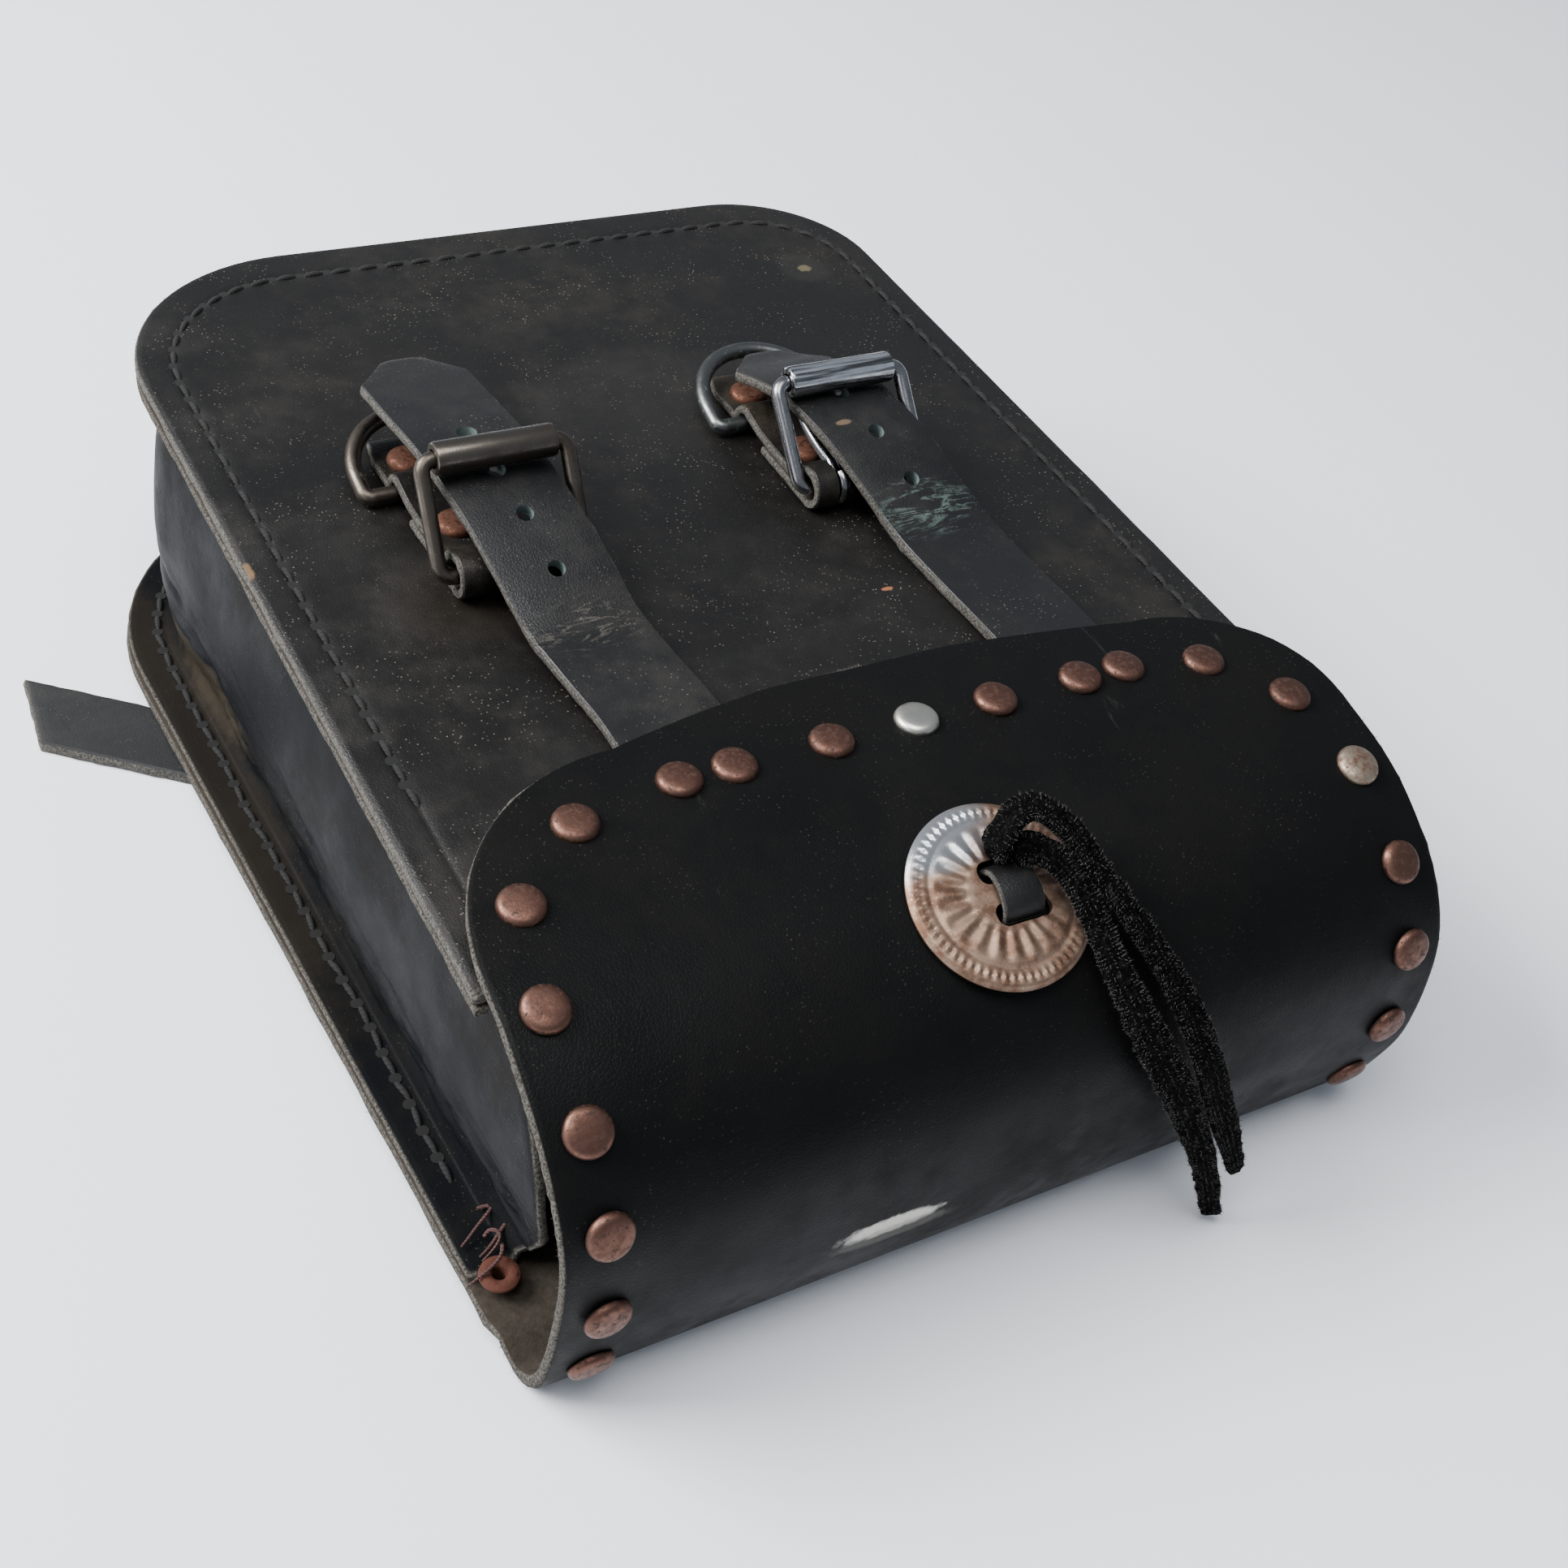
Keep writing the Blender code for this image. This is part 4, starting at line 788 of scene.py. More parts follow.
def fibres(name, roots, outward_way, count, seed, length, thick):
    """Short hairs standing on some of the points, as thin three-sided spikes that lean over."""
    verts = []
    faces = []
    for k in range(count):
        pick = int((hashed(k, 1, seed, 5) * 0.5 + 0.5) * (len(roots) - 1))
        lean = np.array([hashed(k, j, seed, 9) for j in (2, 3, 4)])
        way = outward_way[pick] + 0.75 * lean
        way /= np.linalg.norm(way)
        side = np.cross(way, lean + 0.01)
        side /= np.linalg.norm(side)
        other = np.cross(way, side)
        size = length * (0.55 + 0.45 * hashed(k, 5, seed, 2))
        base = roots[pick] - way * 0.15
        first = len(verts)
        for turn in range(3):
            a = 2 * math.pi * turn / 3
            verts.append(base + thick * (math.cos(a) * side + math.sin(a) * other))
        verts.append(base + way * size + side * 0.25 * size)
        for turn in range(3):
            faces.append((first + turn, first + (turn + 1) % 3, first + 3))
        faces.append((first + 2, first + 1, first))
    return mesh_object(name, verts, faces, None, 80)


def lace_strip(name, node, twist_from, twist_to, seed):
    """A flat suede strip along the cord's route, turning as it goes, with a napped surface."""
    path = resample(catmull(shifted(LACE_TAILS[node]), 10), 150)
    along = np.gradient(path, axis=0)
    along /= np.linalg.norm(along, axis=1, keepdims=True)
    sides = 20
    verts = []
    grain = []
    for k, (p, t) in enumerate(zip(path, along)):
        share = k / (len(path) - 1)
        up = LACE_FACING - t * LACE_FACING.dot(t)
        up /= np.linalg.norm(up)
        across = np.cross(t, up)
        turn = math.radians(twist_from + (twist_to - twist_from) * share)
        wide = math.cos(turn) * across + math.sin(turn) * up
        thin = np.cross(t, wide)
        half = LACE_WIDTH / 2 * (1 - 0.22 * smoothstep(0.86, 1.0, share))
        half = half * (0.86 + 0.14 * math.sin(9 * share + seed))
        for a in range(sides):
            angle = 2 * math.pi * a / sides
            c, s = math.cos(angle), math.sin(angle)
            c = math.copysign(abs(c) ** 0.75, c)
            s = math.copysign(abs(s) ** 0.6, s)
            verts.append(p + wide * half * c + thin * 1.25 * s)
            grain.append(1.0 if s > 0.35 else 0.0)
    verts = np.array(verts)
    centre = np.repeat(path, sides, axis=0)
    out = verts - centre
    out /= np.linalg.norm(out, axis=1, keepdims=True)
    nap = rough(verts, 1.5, seed, 3)[:, None] * 0.42 * (1.0 - 0.75 * np.array(grain)[:, None])
    verts = verts + out * nap
    rows = len(path)
    faces = tube_faces(rows, sides)
    faces.append(tuple(range(sides))[::-1])
    faces.append(tuple((rows - 1) * sides + a for a in range(sides)))
    item = mesh_object(name, verts, faces, {"grain_side": grain}, 70)
    outward(item)
    dress(item, lace_suede, "lid", "lace_suede", node)
    napped = fibres(name + "_nap", verts, out, 5200, seed, 1.0, 0.085)
    dress(napped, lace_nap, "lid", "lace_suede")


lace_strip("lace_end_front", "lace_tail_1", 8, -22, 3)
lace_strip("lace_end_back", "lace_tail_2", 50, 18, 8)


# ---------------------------------------------------------------- the lid's surface

class Lid:
    """The lid's mid-surface as a curve in the YZ plane, in millimetres."""

    def __init__(self):
        path = catmull([(0.0, y, z) for y, z in LID_PROFILE], 8)
        self.points = shifted(path)
        self.length = lengths(self.points)

    def at(self, s):
        s = np.clip(s, 0.0, self.length[-1])
        y = np.interp(s, self.length, self.points[:, 1])
        z = np.interp(s, self.length, self.points[:, 2])
        low = np.clip(s - 0.8, 0, self.length[-1])
        high = np.clip(s + 0.8, 0, self.length[-1])
        dy = np.interp(high, self.length, self.points[:, 1]) - np.interp(low, self.length, self.points[:, 1])
        dz = np.interp(high, self.length, self.points[:, 2]) - np.interp(low, self.length, self.points[:, 2])
        size = math.hypot(dy, dz)
        return y, z, -dz / size, dy / size

    def find(self, axis, value):
        """Arc length where the upper run reaches y, or the fold reaches z."""
        column = 1 if axis == "y" else 2
        if column == 1:
            value += SHIFT
        for i in range(len(self.points) - 1, 0, -1):
            a, b = self.points[i - 1][column], self.points[i][column]
            if min(a, b) <= value <= max(a, b) and a != b:
                return self.length[i - 1] + (value - a) / (b - a) * (self.length[i] - self.length[i - 1])
        raise ValueError("no point of the lid there")


lid_curve = Lid()


def taper(y):
    share = np.clip((BACK_FAR - y) / (BACK_FAR - HINGE_Y), 0, 1)
    return 1 + (WALL_TAPER - 1) * share


def sheet_rows():
    """Rows across the joined back and lid: y, z, left x, right x."""
    rows = []
    for k in range(17):
        a = math.radians(90 - 90 * k / 16)
        y = BACK_FAR - BACK_CORNER + BACK_CORNER * math.sin(a)
        half = (BACK_HALF - BACK_CORNER + BACK_CORNER * math.cos(a)) * taper(y)
        rows.append((y + SHIFT, BACK_MIDDLE_Z, -half, half))
    start = BACK_FAR - BACK_CORNER
    count = 44
    for k in range(1, count):
        y = start + (HINGE_Y - start) * k / count
        half = BACK_HALF * taper(y)
        rows.append((y + SHIFT, BACK_MIDDLE_Z, -half, half))
    total = lid_curve.length[-1]
    end = total - FLAP_BOW
    rounding = max(FLAP_CORNERS)
    stations = list(np.linspace(0, end - rounding, 74))
    stations += [end - rounding + rounding * math.sin(math.radians(4.5 * k)) for k in range(1, 21)]
    for s in stations:
        y, z, _, _ = lid_curve.at(s)
        halves = []
        for corner in FLAP_CORNERS:
            into = max(s - (end - corner), 0.0) / corner
            halves.append(LID_HALF - corner + corner * math.sqrt(max(1 - into * into, 0.0)))
        wide = 1 - smoothstep(0, 14, s)
        rows.append((y, z, LID_CENTRE - halves[0] - 1.6 * wide, LID_CENTRE + halves[1] - 0.4 * wide))
    left, right = (LID_HALF - corner for corner in FLAP_CORNERS)
    for k in range(1, 11):
        share = k / 10
        y, z, _, _ = lid_curve.at(end + FLAP_BOW * share)
        width = math.sqrt(1 - share) * 0.956 + 0.044
        rows.append((y, z, LID_CENTRE - left * width, LID_CENTRE + right * width))
    return rows


def build_sheet():
    rows = sheet_rows()
    columns = edge_spaced(62, 0.012)
    line = np.array([(0.0, y, z) for y, z, _, _ in rows])
    along = np.gradient(line, axis=0)
    along /= np.linalg.norm(along, axis=1, keepdims=True)
    grid = np.zeros((len(rows), len(columns), 3))
    for i, (y, z, left, right) in enumerate(rows):
        grid[i, :, 0] = (left + right) / 2 + (right - left) / 2 * columns
        grid[i, :, 1] = y
        grid[i, :, 2] = z
    normal = np.zeros_like(grid)
    normal[:, :, 1] = -along[:, None, 2]
    normal[:, :, 2] = along[:, None, 1]
    lid_part = smoothstep(BACK_MIDDLE_Z + 2, 30.0, grid[:, :, 2])
    wave = rough(grid, 38.0, 5, 2) * 0.42 + rough(grid * np.array([0.35, 1, 1]), 11.0, 9, 2) * 0.12
    edge = smoothstep(82.0, 101.0, np.abs(grid[:, :, 0]))
    wave += edge * (noise(grid, 24.0, 31) * 0.7 - 0.35)
    grid += normal * (wave * lid_part)[:, :, None]
    item = leather_sheet("back_and_lid_sheet", grid, SHELL - 0.1, normals_towards(grid, 30, 30, (0, 0, -1)),
                         0.2, seed=2, hairs=2200)
    item.data.materials.append(sheet_leather)
    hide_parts("back_panel", "lid_panel")
    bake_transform(item)


build_sheet()


# ---------------------------------------------------------------- gusset

def rounded_outline(w, near, far, corners, run, steps, across):
    """Points up the right side, round both far corners and back down the left side."""
    left, right = corners
    path = [(w, near + (far - right - near) * k / run) for k in range(run)]
    for k in range(steps + 1):
        a = math.radians(90 * k / steps)
        path.append((w - right + right * math.cos(a), far - right + right * math.sin(a)))
    for k in range(1, across):
        path.append((w - right + (left + right - 2 * w) * k / across, far))
    for k in range(steps + 1):
        a = math.radians(90 + 90 * k / steps)
        path.append((-w + left + left * math.cos(a), far - left + left * math.sin(a)))
    return path + [(-w, far - left + (near - far + left) * k / run) for k in range(1, run + 1)]


def wall_point_rows(z, inset):
    """The gusset's path at one height, from the front panel's outline to the back's."""
    share = (FRONT_TOP - z) / (FRONT_TOP - BACK_UNDER)
    w = FRONT_HALF + (BACK_HALF - FRONT_HALF) * share - inset
    far = FRONT_FAR + (BACK_FAR - FRONT_FAR) * share - inset
    corners = [c + (BACK_CORNER - c) * share - inset for c in (50.0, 34.0)]
    into = min(max((z - MOUTH_LOW) / (MOUTH_HIGH - MOUTH_LOW), 0), 1)
    near = FRONT_NEAR + (WALL_NEAR - FRONT_NEAR) * share - MOUTH_REACH * math.sin(math.pi * into)
    path = rounded_outline(w, near, far, corners, 104, 20, 60)
    return np.array([(x * (1 + (taper(y) - 1) * share), y + SHIFT, z) for x, y in path])


def build_gusset():
    top = FRONT_TOP - SHELL - GAP - GUSSET / 2
    bottom = BACK_UNDER + SHELL + GAP + GUSSET / 2
    knots = [(0.2, top), (4.6, top), (6.6, top - 1.6), (6.9, top - 6), (6.0, 56), (6.2, 42), (7.6, 28),
             (9.8, 17), (11.4, bottom + 4), (10.6, bottom + 1.1), (8.4, bottom), (0.2, bottom)]
    line = catmull([(a, b, 0.0) for a, b in knots], 5)
    line = resample(line, 92)
    grid = np.array([wall_point_rows(z, inset) for inset, z, _ in line])
    normal = normals_towards(grid, 45, 40, (1, 0, 0))
    run = lengths(grid[45])
    run = np.broadcast_to(run, grid.shape[:2])
    z = grid[:, :, 2]
    flat = np.stack([run, z, np.zeros_like(z)], axis=2)
    wall = smoothstep(10.5, 15.0, z) * (1 - smoothstep(66, 71, z))
    low = smoothstep(9.8, 13.0, z) * (1 - smoothstep(22, 40, z))
    mouth = smoothstep(40, 190, np.abs(run - run.max() / 2))
    long_way = flat * np.array([0.14, 1.0, 1.0]) + np.array([0.0, 0.10, 0.0]) * flat[:, :, :1]
    folds = np.clip(1 - np.abs(rough(long_way, 6.0, 41, 2)), 0, 1) ** 2.5 * 1.5
    short_way = flat * np.array([0.45, 1.0, 1.0]) - np.array([0.0, 0.22, 0.0]) * flat[:, :, :1]
    ripples = np.clip(1 - np.abs(rough(short_way, 3.4, 57, 2)), 0, 1) ** 2 * 0.5
    waves = rough(flat, 42.0, 17, 2) * 0.8 + rough(flat, 16.0, 19, 2) * 0.14
    move = wall * (waves - 0.4) - low * (folds * (0.45 + 0.75 * mouth) + ripples * (0.25 + 0.9 * mouth))
    crease = np.exp(-((z - 44.0 - 0.5 * (run - 330.0)) / 1.6) ** 2) * np.exp(-((run - 330.0) / 16.0) ** 2)
    move -= crease * 0.9
    grid += normal * move[:, :, None]
    item = leather_sheet("gusset_wall", grid, GUSSET - 0.1, normals_towards(grid, 45, 40, (1, 0, 0)),
                         0.14, seed=4)
    dress(item, gusset_leather, "bag", "panel_leather", "gusset")


build_gusset()


# ---------------------------------------------------------------- front panel

def panel_ring(side_inset, far_inset):
    w = FRONT_HALF - side_inset
    left, right = (max(c - (side_inset + far_inset) / 2, 1.0) for c in FRONT_CORNERS)
    left, right = min(left, w * 0.999), min(right, w * 0.999)
    path = rounded_outline(w, FRONT_NEAR, FRONT_FAR - far_inset, (left, right), 34, 18, 30)
    return np.array([(x, y + SHIFT, FRONT_TOP - SHELL / 2) for x, y in path])


def build_front():
    insets = [(0, 0), (0.5, 0.6), (1.6, 2.2), (3.4, 4.8), (5.2, 8.0), (6.4, 10.1), (7.1, 11.0), (7.6, 11.5),
              (8.1, 12.0), (8.9, 13.0), (10.5, 15.5), (13, 18), (17, 22), (22, 27), (28, 33), (35, 40),
              (43, 48), (52, 57), (61, 66), (70, 75), (79, 84), (88, 93), (96, 100), (101.4, 105)]
    depth = [0.25, 0.05, 0, 0, 0, 0.1, 0.45, 0.75, 0.45, 0.1] + [0] * 14
    grid = np.array([panel_ring(a, b) for a, b in insets])
    grid[-1, :, 0] = 0.0
    side_insets = np.array([a for a, _ in insets])
    inside = np.clip(side_insets / 60.0, 0, 1)[:, None]
    grid[:, :, 2] += rough(grid, 45.0, 23, 2) * 0.28 * (0.3 + inside) - np.array(depth)[:, None] * 0.5
    grid[:, :, 2] -= 0.4 * (1 - smoothstep(0, 9, side_insets))[:, None]
    n, m, _ = grid.shape
    rim = [(i, 0) for i in range(n - 1, 0, -1)] + [(0, j) for j in range(m)]
    rim += [(i, m - 1) for i in range(1, n)]
    item = leather_sheet("front_sheet", grid, SHELL - 0.1, facing_up(grid), 0.2, seed=6, rim=rim, hairs=1800)
    dress(item, front_leather, "bag", "panel_leather", "front_panel")


build_front()


# ---------------------------------------------------------------- stitching

def stitch_row(name, path, pitch, wobble, seed):
    """Saddle stitches between evenly spaced holes along a route on a surface, and near-black lens-shaped
    discs at the holes, painted shade for the holes' hollows.
    """
    count = int(lengths(path)[-1] / pitch)
    holes = resample(path, count + 1)
    parts = []
    pits = []
    for k, (a, b) in enumerate(zip(holes, holes[1:])):
        along = (b - a) / np.linalg.norm(b - a)
        across = np.array([-along[1], along[0], 0.0])
        jig = across * wobble * noise(np.array([k * 3.7, seed, 0.0]), 2.0, 5)
        start, end = a + along * 0.75 + jig, b - along * 0.75 - jig + across * 0.22
        route = []
        for t in np.linspace(0, 1, 7):
            lift = 0.62 * math.sin(math.pi * t) ** 0.6 - 0.30
            route.append(start + (end - start) * t + np.array([0, 0, lift]))
        radius = [0.34, 0.58, 0.68, 0.70, 0.67, 0.56, 0.34]
        parts.append(sweep("stitch", route, radius, 8, flat=0.85))
        # A flat near-black disc at each hole: painted shade where the hole goes into the leather
        profile = [(0, -0.5), (1.05, -0.45), (1.38, -0.12), (1.42, 0.08), (1.14, 0.12), (0.0, 0.06)]
        pits.append(lathe("pit", profile, a + np.array([0, 0, 0.02]), (0, 0, 1), 10))
    dress(join(name, parts), seam_thread, "bag", "thread")
    dress(join(name + "_holes", pits), stitch_hole_painted_shade, "bag", "thread")


def build_stitches():
    front = panel_ring(7.6, 11.5)
    front[:, 2] = FRONT_TOP - 0.32
    stitch_row("front_stitches", front[front[:, 1] > -58.0], STITCH, 0.1, 1)
    flange = wall_point_rows(FLANGE_TOP, 6.7)
    flange[:, 2] = FLANGE_TOP
    sway = [rough(flange, 22.0, 3, 2) * 0.6, rough(flange, 19.0, 4, 2) * 0.6, np.zeros(len(flange))]
    flange = flange + np.stack(sway, axis=1)
    stitch_row("flange_stitches", flange[flange[:, 1] > -92.0], 7.2, 0.5, 2)


build_stitches()


# ---------------------------------------------------------------- rivets

def rivet_profile(grip):
    """A cap rivet from its domed head through its shank to its washer."""
    return [(0, 2.0), (1.2, 1.98), (2.4, 1.90), (3.3, 1.76), (3.85, 1.58), (4.25, 1.30), (4.5, 0.98),
            (4.65, 0.60), (4.70, 0.22), (4.66, -0.02), (4.3, -0.12), (1.8, -0.1), (1.8, -grip),
            (4.0, -grip), (4.0, -grip - 0.6), (0, -grip - 0.6)]


def build_lid_rivets():
    spots = []
    for left, _, axis, value in reversed(SIDE_RIVETS):
        spots.append((LID_CENTRE - left, lid_curve.find(axis, value)))
    for x in FRONT_RIVETS:
        spots.append((x, lid_curve.find("y", -70.0)))
    for _, right, axis, value in SIDE_RIVETS:
        spots.append((LID_CENTRE + right, lid_curve.find(axis, value)))
    for number, (x, s) in enumerate(spots, start=1):
        y, z, ny, nz = lid_curve.at(s)
        normal = np.array([0.0, ny, nz])
        grip = SHELL + 1.0
        if number in STRAP_RIVETS:
            grip = SHELL / 2 + z - (SIDES["left"]["strap"][1][2] - STRAP / 2) + 0.5
        lean = normal + 0.035 * np.array([hashed(number, axis, 0, 3) for axis in (1, 2, 3)])
        point = np.array([x, y, z]) + normal * (SHELL / 2 - 0.05)
        item = lathe("lid_rivet_cap_%02d" % number, rivet_profile(grip), point, lean, 44, number, 0.05)
        look = nickel if number == 11 else speckled if number == 17 else copper
        body = "fold" if z * MM < BEND_END[2] else "lid"
        slot_name = "nickel_rivet" if number in SILVER_RIVETS else "copper_rivet"
        dress(item, look, body, slot_name, "lid_rivet_%02d" % number)


build_lid_rivets()


# ---------------------------------------------------------------- straps

def point_at_y(path, y):
    share = np.interp(y, path[:, 1], np.arange(len(path)))
    i = min(int(share), len(path) - 2)
    return path[i] + (path[i + 1] - path[i]) * (share - i)


def disc(name, point, normal, radii, height, sides, seed):
    """A small round pad, irregular in outline."""
    rings = [(1.0, -0.4), (1.0, 0.0), (0.8, 0.7), (0.45, 0.95), (0.0, 1.0)]
    turn = np.array(Vector(normal).normalized().to_track_quat("Z", "Y").to_matrix())
    verts = []
    for share, up in rings:
        for k in range(sides):
            a = 2 * math.pi * k / sides
            ragged = 1 + 0.14 * noise(np.array([math.cos(a) * 2 + seed, math.sin(a) * 2, 0.0]), 1.0, seed)
            local = (radii[0] * share * ragged * math.cos(a),
                     radii[1] * share * ragged * math.sin(a), up * height)
            verts.append(turn @ np.array(local) + point)
    faces = tube_faces(len(rings), sides)
    faces.append(tuple(range(sides))[::-1])
    return mesh_object(name, verts, faces, None, 60)


def strap_stand(path, y):
    """The strap's middle at y, and the way its grain side faces there."""
    point = point_at_y(path, y)
    ahead = point_at_y(path, y + 2) - point
    return point, np.array([0.0, -ahead[2], ahead[1]])


def build_strap(side):
    spec = SIDES[side]
    path = shifted(catmull(spec["strap"], 10))
    tip = path[-1][1]
    clip = 9.0
    stations = np.concatenate([np.linspace(path[0][1], tip - clip, 66), np.linspace(tip - clip, tip, 9)[1:]])
    rows = np.array([point_at_y(path, y) for y in stations])
    columns = edge_spaced(13, 0.06)
    grid = np.zeros((len(rows), len(columns), 3))
    for i, p in enumerate(rows):
        reach = (tip - p[1]) / clip
        half = STRAP_HALF if reach >= 1 else STRAP_HALF * (0.3 + 0.7 * max(reach, 0.0))
        grid[i, :, 0] = p[0] + half * columns
        grid[i, :, 1:] = p[1:]
    normal = normals_towards(grid, 10, 5, (0, 0, 1))
    crown = -0.35 * columns ** 4
    crease = spec["crease"] + SHIFT
    dip = -0.35 * np.exp(-((grid[:, :, 1] - crease - 2.5 * columns[None, :]) / 1.2) ** 2)
    dip += 0.10 * rough(grid, 12.0, 13, 2)
    grid += normal * (crown[None, :] + dip)[:, :, None]
    item = leather_sheet("closing_strap_" + side, grid, STRAP - 0.1,
                         normals_towards(grid, 10, 5, (0, 0, 1)), 0.22, seed=9 if side == "left" else 15)
    item.data.materials.append(strap_leathers[side])
    cutters = []
    for number, y in enumerate(spec["holes"]):
        point, direction = strap_stand(path, y + SHIFT)
        bore = HOLE_RADIUS * (1.0 if number < 2 else 0.85)
        cutters.append(lathe("drill", [(0, -7), (bore, -7), (bore, 7), (0, 7)], point, direction, 26))
    cut(item, cutters, hole_patina)
    dress(item, strap_leathers[side], "lid", "strap_leather", "strap_" + side)
    point, direction = strap_stand(path, spec["holes"][1] + 0.6 + SHIFT)
    direction /= np.linalg.norm(direction)
    crumb = disc("hole_crumb_" + side, point + direction * 0.9, direction, (0.9, 0.7), 0.5, 22, 3)
    dress(crumb, pale_crumb, "lid", "strap_leather")


for each in SIDES:
    build_strap(each)


# ---------------------------------------------------------------- chapes, buckles and rings

def chape_line(shift):
    """Mid-line of the folded tab as (y, z) from the heel bar's axis."""
    floor = FRONT_TOP + GAP - HEEL_Z + CHAPE / 2
    fold = -floor
    points = [(22.0 + shift, floor), (12.0, floor), (0.0, floor)]
    for k in range(1, 8):
        a = math.radians(-90 - 180 * k / 8)
        points.append((fold * math.cos(a), fold * math.sin(a)))
    upper = floor + CHAPE + GAP
    points += [(0.0, fold), (4.0, fold - 1.0), (7.0, upper + 0.5), (9.0, upper), (22.0 + shift, upper),
               (26.0 + shift, upper + 0.3)]
    ring = RING_WIRE + GAP + CHAPE / 2
    centre = floor - CHAPE / 2 + RING_WIRE + 0.1
    middle = RING_Y + shift
    for k in range(5):
        a = math.radians(115 - 100 * k / 4)
        points.append((middle + ring * math.cos(a), centre + ring * math.sin(a)))
    points += [(middle + ring + 0.8, floor + 0.3), (middle + ring + 2.0, floor), (52.0 + shift, floor)]
    return np.array([(0.0, y, z) for y, z in points])


def box_mesh(name, low, high):
    corners = [(x, y, z) for x in (low[0], high[0]) for y in (low[1], high[1]) for z in (low[2], high[2])]
    faces = [(0, 1, 3, 2), (4, 6, 7, 5), (0, 4, 5, 1), (2, 3, 7, 6), (0, 2, 6, 4), (1, 5, 7, 3)]
    item = mesh_object(name, corners, faces)
    outward(item)
    return item


def build_chape(side):
    spec = SIDES[side]
    shift = spec["tab_shift"]
    origin = np.array([0.0, spec["heel_y"] + SHIFT, HEEL_Z])
    line = resample(catmull(chape_line(shift), 8), 110)
    columns = edge_spaced(15, 0.07)
    grid = np.zeros((len(line), len(columns), 3))
    for i, p in enumerate(line):
        grid[i, :, 0] = spec["chape_x"] + CHAPE_HALF * columns
        grid[i, :, 1:] = (p + origin)[1:]
    share = np.linspace(0, 1, len(line))
    tail = smoothstep(0.93, 1.0, share)
    grid[:, :, 0] = spec["chape_x"] + (grid[:, :, 0] - spec["chape_x"]) * (1 - 0.10 * tail[:, None])
    item = leather_sheet("chape_fold_" + side, grid, CHAPE - 0.1, normals_towards(grid, 60, 5, (0, 0, 1)),
                         0.13, seed=12)
    item.data.materials.append(chape_leather)
    low = (spec["slot"][0], origin[1] - 9.0, FRONT_TOP + 0.3)
    high = (spec["slot"][1], origin[1] + 9.0, HEEL_Z + 9.0)
    cut(item, [box_mesh("slot", low, high)], chape_leather)
    dress(item, chape_leather, "bag", "panel_leather", "chape_" + side)
    number = 0
    for y, layers in ((14.0, 2), (42.4, 1)):
        top = FRONT_TOP + layers * (CHAPE + GAP) - 0.1
        for sign in (-1, 1):
            number += 1
            name = "chape_rivet_%s_%d" % (side, number)
            point = (spec["chape_x"] + sign * 4.9, origin[1] + y + shift, top)
            profile = rivet_profile(top - FRONT_TOP + SHELL + 0.4)
            axis = (0.03 * sign, 0.02, 1)
            item = lathe(name.replace("rivet", "rivet_cap"), profile, point, axis, 44, number, 0.07)
            dress(item, orange_rust, "bag", "copper_rivet", name)


def rounded_loop(corners, radius, steps=10):
    out = []
    for i, corner in enumerate(corners):
        corner = Vector(corner)
        before = (Vector(corners[i - 1]) - corner).normalized()
        after = (Vector(corners[(i + 1) % len(corners)]) - corner).normalized()
        opening = before.angle(after)
        reach = radius / math.tan(opening / 2)
        centre = corner + (before + after).normalized() * (radius / math.sin(opening / 2))
        start = corner + before * reach - centre
        end = corner + after * reach - centre
        for k in range(steps + 1):
            out.append(np.array(centre + start.slerp(end, k / steps).normalized() * radius))
    return np.array(out)


def turned_about_x(points, degrees, origin):
    a = math.radians(degrees)
    c, s = math.cos(a), math.sin(a)
    matrix = np.array([[1, 0, 0], [0, c, -s], [0, s, c]])
    return np.asarray(points) @ matrix.T + np.asarray(origin)


def densify(path, step):
    """Points about `step` apart round a closed polyline."""
    path = np.concatenate([path, path[:1]])
    count = int(lengths(path)[-1] / step)
    return resample(path, count + 1)[:-1]


